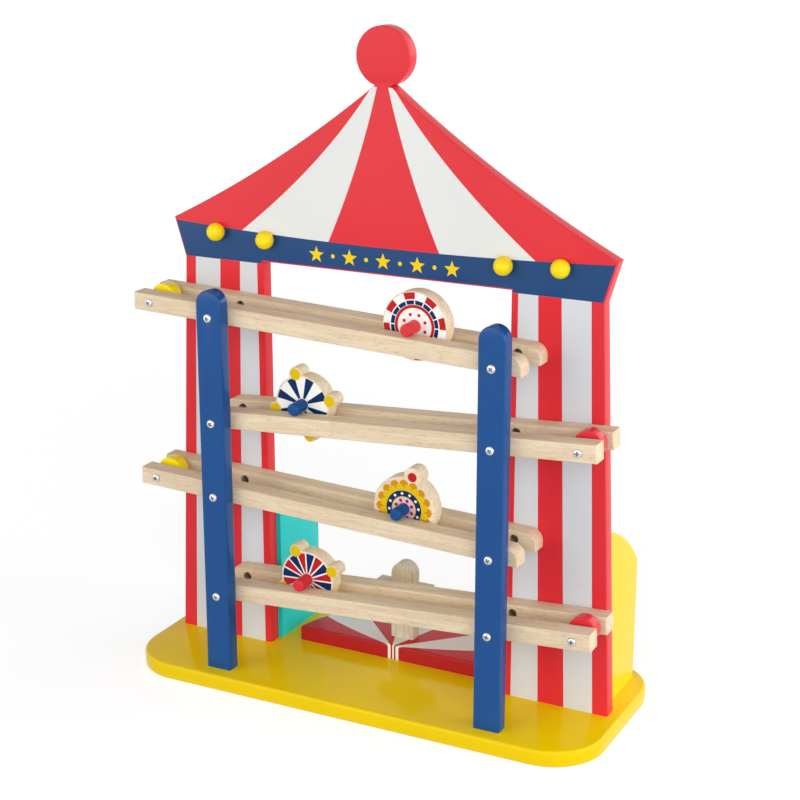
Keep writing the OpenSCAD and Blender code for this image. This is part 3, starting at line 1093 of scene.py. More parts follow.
@dataclass
class Board:
    """A sawn board with rounded edges.

    The outline lies in U and V, the front face at W 0 and the back face at W thickness.
    share gives how much of the rim an outline edge has, such as 0 for a foot on the base.
    """

    outline: list[Point]
    thickness: float
    rim: float = 2.0
    back_rim: float = 2.0
    holes: tuple[Hole, ...] = ()
    share: Share = lambda p, q: 1.0
    steps: int = 5
    hole_steps: int = 32
    # Share of painted shade at a blind hole's lip; it grows to full at the floor.
    mouth_shade: float = 0.35

    def add(
        self, name: str, node: str, place: Matrix, paints: Sequence[Material], slot: str, body: str = "frame"
    ) -> None:
        """Puts the board in the scene in place of a CAD node.

        Args:
            name: Piece name.
            node: The node.
            place: The board's frame to the tower's, both in millimetres.
            paints: Material of the front, then that of sides and back if they have another.
            slot: The record's material slot.
            body: Body that it rides on.
        """
        bm = bmesh.new()
        # The first mark is edge wear on the rounded rims; the second is painted shade inside blind holes,
        # from the lip to the floor.
        for mark in ("edge", "grime"):
            bm.verts.layers.float.new(mark)
        side = len(paints) - 1
        loop = self.outline if area(self.outline) > 0 else self.outline[::-1]
        free = [self.share(p, q) for p, q in zip(loop, [*loop[1:], loop[0]])]
        front, back = self._wall(bm, loop, free, (self.rim, self.back_rim), side, 1.0)
        fronts, backs = [front], [back]
        for hole in self.holes:
            if hole.depth:
                fronts.append(self._pocket(bm, hole, side))
                continue
            ring = circle(hole.centre, hole.radius, self.hole_steps)[::-1]
            front, back = self._wall(bm, ring, [1.0] * len(ring), (hole.lip, hole.lip), side, 0.0)
            fronts.append(front)
            backs.append(back)
        self._cap(bm, fronts, 0)
        self._cap(bm, backs, side)
        add_piece(name, write_mesh(bm, name, place), paints, body, slot, node)

    @staticmethod
    def _cap(bm: BMesh, loops: Sequence[list], slot: int) -> None:
        """Closes a flat face and leaves its round holes open.

        Args:
            bm: Mesh to build in.
            loops: Vertices of the outline, then of each hole.
            slot: Material slot.
        """
        verts, owner, edges = [], [], []
        for number, loop in enumerate(loops):
            first, count = len(verts), len(loop)
            edges += [(first + i, first + (i + 1) % count) for i in range(count)]
            verts += loop
            owner += [number] * count
        flat = [Vector((v.co.x, v.co.y)) for v in verts]
        _, _, triangles, origin, _, _ = geometry.delaunay_2d_cdt(flat, edges, [], 1, 1e-6)
        for triangle in triangles:
            corners = [origin[i][0] for i in triangle]
            owners = {owner[i] for i in corners}
            if len(owners) == 1 and owners != {0}:
                continue
            face = bm.faces.new([verts[i] for i in corners])
            face.material_index = slot
            face.smooth = False

    def _wall(
        self, bm: BMesh, loop: Sequence[Point], free: Sequence[float], rims: Point, slot: int, wear: float
    ) -> tuple[list, list]:
        """Builds a loop's wall with both rounded rims.

        Args:
            bm: Mesh to build in.
            loop: Points with the board on their left.
            free: Share of the rim for the edge that starts at each point.
            rims: Radius of the front rim and of the back rim.
            slot: Material slot.
            wear: How far the edge mask goes on the rims.

        Returns:
            The vertices round the front opening and round the back opening.
        """
        worn = bm.verts.layers.float["edge"]
        rim, back = rims
        turns = [math.pi / 2 * i / self.steps for i in range(self.steps + 1)]
        profile = [(rim * (1 - math.sin(t)), rim * (1 - math.cos(t)), math.sin(2 * t)) for t in turns]
        for t in reversed(turns):
            depth = self.thickness - back * (1 - math.cos(t))
            profile.append((back * (1 - math.sin(t)), depth, math.sin(2 * t)))
        rings = []
        for inset, depth, mask in profile:
            ring = [bm.verts.new((u, v, depth)) for u, v in offset(loop, [f * inset for f in free])]
            for vert in ring:
                vert[worn] = mask * wear
            rings.append(ring)
        skin(bm, rings, slot)
        return rings[0], rings[-1]

    def _pocket(self, bm: BMesh, hole: Hole, slot: int) -> list:
        """Builds a blind hole.

        Args:
            bm: Mesh to build in.
            hole: Its place and sizes.
            slot: Material slot.

        Returns:
            The vertices of its mouth.
        """
        grime = bm.verts.layers.float["grime"]
        # Painted shade inside the hole, from none round the mouth to full at the floor.
        levels = (
            (hole.radius + hole.lip, 0.0, 0.0),
            (hole.radius, hole.lip, self.mouth_shade),
            (hole.radius, hole.depth, 1.0),
        )
        rings = []
        for radius, depth, dark in levels:
            spots = circle(hole.centre, radius, self.hole_steps)[::-1]
            rings.append([bm.verts.new((u, v, depth)) for u, v in spots])
            for vert in rings[-1]:
                vert[grime] = dark
        skin(bm, rings, slot)
        bm.faces.new(rings[-1][::-1]).material_index = slot
        return rings[0]


def to_mesh(bm: BMesh, name: str, sharp: float) -> Mesh:
    """Turns a bmesh into a mesh with normals that point outwards.

    Args:
        bm: The bmesh, which is freed.
        name: Mesh name.
        sharp: Angle in degrees above which an edge shades as a corner.

    Returns:
        The mesh.
    """
    bmesh.ops.recalc_face_normals(bm, faces=bm.faces)
    mesh = bpy.data.meshes.new(name)
    bm.to_mesh(mesh)
    bm.free()
    mesh.set_sharp_from_angle(angle=math.radians(sharp))
    return mesh


def write_mesh(bm: BMesh, name: str, place: Matrix, sharp: float = 38.0) -> Mesh:
    """Turns a bmesh in millimetres into a mesh in metres, moved by a frame."""
    bm.transform(Matrix.Scale(MM, 4) @ place)
    return to_mesh(bm, name, sharp)


def lathe(profile: Sequence[Point], steps: int = 48) -> BMesh:
    """Turns a profile round Z.

    Args:
        profile: Radius and height of each point; the ends lie on the axis.
        steps: Sides of the round.

    Returns:
        A closed bmesh.
    """
    bm = bmesh.new()
    rings = []
    for radius, height in profile:
        spots = circle((0, 0), radius, steps) if radius > 1e-9 else [(0, 0)]
        rings.append([bm.verts.new((x, y, height)) for x, y in spots])
    skin(bm, rings)
    return bm


def dowel(radius: float, length: float, ease: float, steps: int = 5) -> list[Point]:
    """Profile of a dowel with eased ends, from height 0.

    Args:
        radius: Radius of the dowel.
        length: Its length.
        ease: Radius of its ends' edges.
        steps: Chords of an edge.

    Returns:
        Radius and height of each point.
    """
    turns = [math.pi / 2 * i / steps for i in range(steps + 1)]
    low = [(radius - ease + ease * math.sin(t), ease - ease * math.cos(t)) for t in turns]
    high = [(r, length - h) for r, h in reversed(low)]
    return [(0.0, 0.0), *low, *high, (0.0, length)]


def facing(y: float) -> Matrix:
    """Frame of a board whose front faces -Y at a depth."""
    return Matrix(((1, 0, 0, 0), (0, 0, 1, y), (0, 1, 0, 0), (0, 0, 0, 1)))


def lying(z: float) -> Matrix:
    """Frame of a board whose front faces up at a height."""
    return Matrix(((1, 0, 0, 0), (0, 1, 0, 0), (0, 0, -1, z), (0, 0, 0, 1)))


def sideways(x: float) -> Matrix:
    """Frame of a board whose front faces -X, with its outline in Y and Z."""
    return Matrix(((0, 0, 1, x), (1, 0, 0, 0), (0, 1, 0, 0), (0, 0, 0, 1)))


def along_y(x: float, y: float, z: float) -> Matrix:
    """Frame of a turned piece whose axis runs along Y from a point."""
    return Matrix.Translation((x, y, z)) @ Matrix.Rotation(math.radians(-90), 4, "X")


def add_object(name: str, data: bpy.types.ID) -> Object:
    """Adds an object to the scene.

    Args:
        name: Object name.
        data: Its mesh, light or camera.

    Returns:
        The object.
    """
    made = bpy.data.objects.new(name, data)
    bpy.context.scene.collection.objects.link(made)
    return made


def add_piece(
    name: str, mesh: Mesh, materials: Sequence[Material], body: str, slot: str, *nodes: str
) -> None:
    """Puts a finished piece in the scene in place of CAD nodes.

    Args:
        name: Piece name.
        mesh: Its mesh, in the tower's frame.
        materials: Materials by slot, or none where the mesh has them.
        body: Body that it rides on.
        slot: The record's material slot; not used.
        nodes: CAD nodes that it stands for.
    """
    piece = add_object(name, mesh)
    for material in materials:
        mesh.materials.append(material)
    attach(piece, body)
    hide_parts(*nodes)
    LOG.info("%s: %d faces on %s", name, len(mesh.polygons), body)


def bake(carrier: Object, name: str) -> Mesh:
    """Applies an object's modifiers.

    Args:
        carrier: The object, which keeps them.
        name: Mesh name.

    Returns:
        A plain mesh.
    """
    depsgraph = bpy.context.evaluated_depsgraph_get()
    depsgraph.update()
    mesh = bpy.data.meshes.new_from_object(carrier.evaluated_get(depsgraph))
    mesh.name = name
    return mesh


# Sub-assemblies


@dataclass
class BaseBoard:
    """The board that everything stands on."""

    corner: float = 45.0
    corner_steps: int = 24
    rim: float = 2.6
    under_rim: float = 1.0
    sunk_r: float = 3.55
    sunk_depth: float = 3.0
    screws: tuple[Point, ...] = (
        (123.0, -69.5), (137.0, -4.5), (173.0, -4.5), (112.5, 47.0), (187.0, 47.0), (45.5, 38.5),
    )

    def spots(self) -> list[Point]:
        """Places of the screws at both sides."""
        return [(x * side, y) for x, y in self.screws for side in (1, -1)]

    def build(self, paint: Material) -> None:
        """Adds the board with its countersunk holes below.

        Args:
            paint: Its paint.
        """
        r = self.corner
        w, d = LAYOUT.base_w / 2 - r, LAYOUT.base_d / 2 - r
        outline = []
        for quarter, centre in enumerate(((w, d), (-w, d), (-w, -d), (w, -d))):
            outline += arc_points(centre, r, 90 * quarter, 90 * quarter + 90, self.corner_steps)
        holes = tuple(Hole(spot, self.sunk_r, self.sunk_depth) for spot in self.spots())
        board = Board(outline, LAYOUT.base_t, self.under_rim, self.rim, holes)
        board.add("base", "base_board", Matrix.Identity(4), [paint], "base_yellow")


@dataclass
class TentPanel:
    """The sawn tent front: two legs, the band, the roof and the finial disc."""

    leg_top: float = 185.0
    leg_h: float = 335.53
    window_h: float = 338.43
    eave_half: float = 195.0
    eave_h: float = 368.43
    neck_half: float = 7.5
    roof_h: float = 118.0
    roof_sag: float = 5.6
    roof_steps: int = 28
    finial_r: float = 23.15
    finial_dip: float = 0.7
    finial_steps: int = 72
    rim: float = 1.2
    notch_reach: float = 14.0

    def outline(self) -> list[Point]:
        """Outline of the panel, feet at the base's top.

        Returns:
            The points in order.
        """
        eave, neck = (self.eave_half, self.eave_h), (self.neck_half, self.eave_h + self.roof_h)
        run = eave[0] - neck[0]
        chord = math.hypot(run, self.roof_h)
        radius = (chord * chord / 4 + self.roof_sag**2) / (2 * self.roof_sag)
        off = radius - self.roof_sag
        centre = (
            (eave[0] + neck[0]) / 2 + self.roof_h / chord * off,
            (eave[1] + neck[1]) / 2 + run / chord * off,
        )
        right = [
            (LAYOUT.window_half, self.window_h),
            (LAYOUT.window_half, 0),
            (LAYOUT.leg_foot, 0),
            (self.leg_top, self.leg_h),
            *arc_between(centre, eave, neck, self.roof_steps),
        ]
        half_chord = math.sqrt(2 * self.finial_r * self.finial_dip - self.finial_dip**2)
        gap = math.degrees(math.asin(half_chord / self.finial_r))
        middle = (0, neck[1] + self.finial_r - self.finial_dip)
        finial = arc_points(middle, self.finial_r, gap - 90, 270 - gap, self.finial_steps)
        left = [(-x, z) for x, z in reversed(right)]
        return [(x, z + LAYOUT.base_t) for x, z in [*right, *finial, *left]]

    def rim_share(self, p: Point, q: Point) -> float:
        """Rim of an edge: none at the feet, and less towards the notch under the finial.

        Args:
            p: Start of the edge.
            q: Its end.

        Returns:
            The share of the full rim.
        """
        foot = LAYOUT.base_t
        across = abs(p[0] + q[0]) / 2 - self.neck_half
        up = (p[1] + q[1]) / 2 - foot - self.eave_h - self.roof_h
        return free_edge(foot)(p, q) * min(math.hypot(across, up) / self.notch_reach, 1.0)

    def build(self, printed: Material, paint: Material) -> None:
        """Adds the panel.

        Args:
            printed: Material of its front.
            paint: Material of its edges and back.
        """
        thickness = LAYOUT.panel_back - LAYOUT.panel_y
        board = Board(self.outline(), thickness, self.rim, self.rim, share=self.rim_share)
        board.add("tent", "tent_panel", facing(LAYOUT.panel_y), [printed, paint], "panel_red")


@dataclass
class FrontPosts:
    """The two posts that carry the front rails."""

    width: float = 22.5
    rise: float = 11.0
    rim: float = 1.6
    top_steps: int = 32
    hole_r: float = 1.8
    hole_lip: float = 0.1

    def build(self, paint: Material) -> None:
        """Adds both posts.

        Args:
            paint: Their paint.
        """
        r, foot = self.width / 2, LAYOUT.base_t
        top = LAYOUT.mid_z(1, -LAYOUT.post_x) + self.rise
        for name, x in (("left_post", -LAYOUT.post_x), ("right_post", LAYOUT.post_x)):
            outline = [(x - r, foot), (x + r, foot), *arc_points((x, top), r, 0, 180, self.top_steps)]
            holes = tuple(Hole((x, LAYOUT.mid_z(k, x)), self.hole_r, lip=self.hole_lip) for k in TRACKS)
            board = Board(outline, LAYOUT.post_t, self.rim, self.rim, holes, free_edge(foot))
            board.add(f"{name}_board", name, facing(LAYOUT.post_y), [paint], "post_blue")


@dataclass
class Tracks:
    """Eight rails in four pairs, and the stop wheels at their high ends."""

    nose: float = 10.0
    nose_steps: int = 16
    rim: float = 1.0
    bore_r: float = 3.55
    bore_lip: float = 0.35
    shank_r: float = 2.05
    wheel_r: float = 11.5
    wheel_t: float = 12.0
    wheel_inset: float = 14.5
    wheel_rim: float = 0.9
    wheel_steps: int = 64

    @property
    def wheel_spot(self) -> Point:
        """Middle of a stop wheel in its track's frame."""
        return self.wheel_inset - LAYOUT.rail_high, -LAYOUT.rail_h / 2

    def rail_outline(self) -> list[Point]:
        """Side view of a rail, its top on U and its high end at the left.

        Returns:
            The points in order.
        """
        low, high, h = LAYOUT.rail_low, LAYOUT.rail_high, LAYOUT.rail_h
        nose = arc_points((low - self.nose, -self.nose), self.nose, 0, 90, self.nose_steps)
        return [(-high, -h), (low, -h), *nose, (-high, 0)]

    def build(self, wood: dict[int, Material], wheels: dict[int, tuple[Material, str]]) -> None:
        """Adds rails and wheels.

        Args:
            wood: Rail material for odd tracks at 1 and even ones at 0.
            wheels: Paint and record slot of each stop wheel.
        """
        through = (Hole(self.wheel_spot, self.shank_r),)
        for k in TRACKS:
            bores = [Hole(self.wheel_spot, self.shank_r, LAYOUT.screw_bite)]
            to_track = LAYOUT.on_track(k, 0).inverted()
            for x in (-LAYOUT.post_x, LAYOUT.post_x):
                spot = to_track @ Vector((x, 0, LAYOUT.mid_z(k, x)))
                bores.append(Hole((spot.x, spot.y), self.bore_r, LAYOUT.bore_depth, self.bore_lip))
            rear_y = LAYOUT.channel_y + LAYOUT.channel_gap / 2
            for row, y, holes in (("front", LAYOUT.track_y, through), ("rear", rear_y, tuple(bores))):
                board = Board(self.rail_outline(), LAYOUT.rail_t, self.rim, self.rim, holes)
                place = LAYOUT.on_track(k, y)
                board.add(f"{row}_track_rail_{k}", f"{row}_rail_{k}", place, [wood[k % 2]], "rail_wood")
            outline = circle(self.wheel_spot, self.wheel_r, self.wheel_steps)
            wheel = Board(outline, self.wheel_t, self.wheel_rim, self.wheel_rim, through)
            place = LAYOUT.on_track(k, LAYOUT.channel_y - self.wheel_t / 2)
            paint, slot = wheels[k]
            wheel.add(f"track_wheel_{k}", f"stop_wheel_{k}", place, [paint], slot, f"wheel_{k}")


class Disc(Enum):
    """The outlines of the rollers."""

    PLAIN = "plain disc"
    CABINS = "disc with four cabins"
    LOBE = "disc with one lobe"


@dataclass(frozen=True)
class Roller:
    """One disc on its dowel."""

    track: int
    place: float
    turn: float
    disc: Disc
    radius: float
    bump_r: float = 0.0
    bump_pitch: float = 0.0
    bump_steps: int = 24
    round_steps: int = 96
    chord_turn: float = 4.0
    thickness: float = 14.0
    axle_r: float = 5.0
    axle_l: float = 46.0
    axle_ease: float = 1.6
    axle_fit: float = 0.05
    axle_lip: float = 0.3
    roll_gap: float = 0.25
    rim: float = 0.9

    @property
    def centre(self) -> Vector:
        """Middle of the roller."""
        return LAYOUT.track_point(self.track, self.place, self.axle_r + self.roll_gap)

    @property
    def spot(self) -> Point:
        """X and Z of the middle."""
        return self.centre.x, self.centre.z

    def outline(self) -> list[Point]:
        """Outline of the disc about its own middle.

        Returns:
            The points in order.
        """
        if self.disc is Disc.PLAIN:
            return circle((0, 0), self.radius, self.round_steps)
        turns = (0, 90, 180, 270) if self.disc is Disc.CABINS else (0,)
        span = 360 / len(turns)
        steps = int(span / self.chord_turn)
        big, far, small = self.radius, self.bump_pitch, self.bump_r
        meet = math.acos((big**2 + far**2 - small**2) / (2 * big * far))
        swing = math.degrees(math.atan2(big * math.sin(meet), big * math.cos(meet) - far))
        share = math.degrees(meet)
        bump = [Vector(p) for p in arc_points((far, 0), small, -swing, swing, self.bump_steps)]
        points = []
        for turn in turns:
            spin = Matrix.Rotation(math.radians(turn), 2)
            points += [tuple(spin @ p) for p in bump]
            points += arc_points((0, 0), big, turn + share, turn + span - share, steps)[1:-1]
        return points

    def build(self, printed: Material, wood: Material, paint: Material, slot: str) -> None:
        """Adds the disc and its dowel.

        Args:
            printed: Material of the disc's front.
            wood: Material of its sides and back.
            paint: Material of the dowel.
            slot: The record's slot of the dowel.
        """
        k, c = self.track, self.centre
        hole = Hole((0, 0), self.axle_r + self.axle_fit, lip=self.axle_lip)
        board = Board(self.outline(), self.thickness, self.rim, self.rim, (hole,))
        spin = Matrix.Rotation(math.radians(self.turn), 4, "Z")
        place = Matrix.Translation((c.x, c.y - self.thickness / 2, c.z)) @ facing(0) @ spin
        board.add(f"roller_{k}", f"roller_disc_{k}", place, [printed, wood], "roller_wood", f"disc_{k}")
        pin = lathe(dowel(self.axle_r, self.axle_l, self.axle_ease))
        name = f"roller_dowel_{k}"
        mesh = write_mesh(pin, name, along_y(c.x, c.y - self.axle_l / 2, c.z))
        add_piece(name, mesh, [paint], f"axle_{k}", slot, f"roller_axle_{k}")


@dataclass
class RearBraces:
    """Four braces behind the legs."""

    thickness: float = 12.0
    depth: float = 67.5
    front_h: float = 151.0
    back_h: float = 105.0
    arc_r: float = 145.0
    arc_steps: int = 24
    inner_x: float = 106.5
    outer_x: float = 181.0
    rim: float = 2.2

    def outline(self) -> list[Point]:
        """Side view of a brace in Y and Z.

        Returns:
            The points in order.
        """
        fall = self.front_h - self.back_h
        chord = math.hypot(self.depth, fall)
        off = math.sqrt(self.arc_r**2 - chord**2 / 4)
        centre = (
            self.depth / 2 - fall / chord * off,
            (self.front_h + self.back_h) / 2 - self.depth / chord * off,
        )
        top = arc_between(centre, (self.depth, self.back_h), (0, self.front_h), self.arc_steps)
        points = [(0, 0), (self.depth, 0), *top]
        return [(y + LAYOUT.panel_back, z + LAYOUT.base_t) for y, z in points]

    def build(self, teal: Material, yellow: Material) -> None:
        """Adds the braces.

        Args:
            teal: Paint of the two at the left.
            yellow: Paint of the two at the right.
        """
        share = free_edge(LAYOUT.base_t, LAYOUT.panel_back)
        board = Board(self.outline(), self.thickness, self.rim, self.rim, share=share)
        places = (
            ("left_outer_brace", -self.outer_x - self.thickness, teal, "brace_teal"),
            ("left_inner_brace", -self.inner_x - self.thickness, teal, "brace_teal"),
            ("right_inner_brace", self.inner_x, yellow, "brace_yellow"),
            ("right_outer_brace", self.outer_x, yellow, "brace_yellow"),
        )
        for node, x, paint, slot in places:
            board.add(f"{node}_board", node, sideways(x), [paint], slot)


@dataclass
class Stage:
    """The rayed half-round board behind the window and its wooden upright."""

    radius: float = 91.0
    cut: float = 13.0
    thickness: float = 13.0
    rim: float = 1.6
    under_rim: float = 0.4
    round_steps: int = 64
    upright_y: float = 23.0
    upright_t: float = 12.5
    upright_w: float = 21.0
    upright_h: float = 68.7
    upright_rim: float = 0.9
    upright_steps: int = 24
    arm_l: float = 50.0
    arm_h: float = 20.0
    arm_top: float = 49.7
    peg_r: float = 3.0
    peg_down: float = 10.0
    peg_up: float = 16.0
    peg_ease: float = 0.6
    peg_steps: int = 24

    def cross(self) -> list[Point]:
        """Outline of the upright from its foot.

        Returns:
            The points in order.
        """
        w, a = self.upright_w / 2, self.arm_l / 2
        low, high = self.arm_top - self.arm_h, self.arm_top
        right = [(w, 0), (w, low), (a, low), (a, high), (w, high)]
        head = arc_points((0, self.upright_h - w), w, 0, 180, self.upright_steps)
        return [*right, *head, *((-x, z) for x, z in reversed(right))]

    def build(self, printed: Material, edge: Material, wood: Material) -> None:
        """Adds the stage, the upright and the peg between them.

        Args:
            printed: Material of the stage's top.
            edge: Material of its edge and underside, a darker red that paints shade on them.
            wood: Material of upright and peg.
        """
        top = LAYOUT.base_t + self.thickness
        start = math.degrees(math.asin(self.cut / self.radius))
        middle = (0, LAYOUT.stage_front - self.cut)
        outline = arc_points(middle, self.radius, start, 180 - start, self.round_steps)
        board = Board(outline, self.thickness, self.rim, self.under_rim)
        board.add("stage", "stage_board", lying(top), [printed, edge], "stage_red")
        outline = [(x, z + top) for x, z in self.cross()]
        rim = self.upright_rim
        upright = Board(outline, self.upright_t, rim, rim, share=free_edge(top))
        upright.add("stage_cross", "stage_upright", facing(self.upright_y), [wood], "bare_wood")
        peg = lathe(dowel(self.peg_r, self.peg_down + self.peg_up, self.peg_ease), self.peg_steps)
        place = Matrix.Translation((0, self.upright_y + self.upright_t / 2, top - self.peg_down))
        mesh = write_mesh(peg, "stage_peg", place)
        add_piece("stage_peg", mesh, [wood], "frame", "bare_wood", "upright_peg")


@dataclass(frozen=True)
class FastenerSet:
    """Fasteners of one kind; sizes are head radius, shank radius and shank length."""

    name: str
    nodes: Sequence[str]
    head: Object
    shank: Object
    finish: Material
    points: Sequence[Point3]
    sizes: Point3
    way: Point3 = (0.0, 1.0, 0.0)
    slot: str = "screw_steel"


class FastenerTree:
    """Geometry Nodes that set a head and a shank on every point."""

    SIZES = ("Head Radius", "Shank Radius", "Shank Length")
    FIRST_SEED = 3
    FLOAT_MAX = 3
    FLOAT_VALUE = 1

    def __init__(self) -> None:
        """Builds the tree."""
        self.seed = self.FIRST_SEED
        self.tree = bpy.data.node_groups.new("Fastener set", "GeometryNodeTree")
        sockets = {"Geometry": "Geometry", "Head": "Object", "Shank": "Object", "Direction": "Vector"}
        sockets.update({"Turn Seed": "Int", "Finish": "Material"})
        sockets.update({size: "Float" for size in self.SIZES})
        self.keys = {}
        for name, kind in sockets.items():
            made = self.tree.interface.new_socket(name, in_out="INPUT", socket_type=f"NodeSocket{kind}")
            self.keys[name] = made.identifier
        self.tree.interface.new_socket("Geometry", in_out="OUTPUT", socket_type="NodeSocketGeometry")
        s = NodeSheet(self.tree)
        given = s.node("NodeGroupInput").outputs
        spin = s.node("FunctionNodeRandomValue", data_type="FLOAT")
        s.feed(spin.inputs[self.FLOAT_MAX], math.tau)
        s.fill(spin, Seed=given["Turn Seed"])
        turn = s.fill(s.node("ShaderNodeCombineXYZ"), Z=spin.outputs[self.FLOAT_VALUE])
        aim = s.node("FunctionNodeAlignRotationToVector", axis="Z")
        s.fill(aim, Rotation=turn.outputs[0], Vector=given["Direction"])
        join = s.node("GeometryNodeJoinGeometry")
        head_r, shank_r, shank_l = (given[size] for size in self.SIZES)
        for part, across, length in (("Head", head_r, head_r), ("Shank", shank_r, shank_l)):
            shape = s.fill(s.node("GeometryNodeObjectInfo"), Object=given[part])
            size = s.fill(s.node("ShaderNodeCombineXYZ"), X=across, Y=across, Z=length)
            put = s.fill(
                s.node("GeometryNodeInstanceOnPoints"),
                Points=given["Geometry"],
                Instance=shape.outputs["Geometry"],
                Rotation=aim.outputs[0],
                Scale=size.outputs[0],
            )
            s.feed(join.inputs[0], put.outputs[0])
        real = s.fill(s.node("GeometryNodeRealizeInstances"), Geometry=join.outputs[0])
        paint = s.node("GeometryNodeSetMaterial")
        s.fill(paint, Geometry=real.outputs[0], Material=given["Finish"])
        s.feed(s.node("NodeGroupOutput").inputs[0], paint.outputs[0])

    def set_out(self, kind: FastenerSet) -> Mesh:
        """Runs the tree on a set's points, each set with the next seed.

        Args:
            kind: The set, in millimetres.

        Returns:
            A plain mesh in metres.
        """
        seed = bpy.data.meshes.new(f"{kind.name}_points")
        seed.from_pydata([[c * MM for c in p] for p in kind.points], [], [])
        carrier = add_object(f"{kind.name}_points", seed)
        modifier = carrier.modifiers.new("Fasteners", "NODES")
        modifier.node_group = self.tree
        inputs = {"Head": kind.head, "Shank": kind.shank, "Direction": kind.way}
        inputs.update({"Turn Seed": self.seed, "Finish": kind.finish})
        inputs.update({key: size * MM for key, size in zip(self.SIZES, kind.sizes)})
        for key, value in inputs.items():
            modifier[self.keys[key]] = value
        self.seed += 1
        mesh = bake(carrier, kind.name)
        bpy.data.objects.remove(carrier)
        return mesh


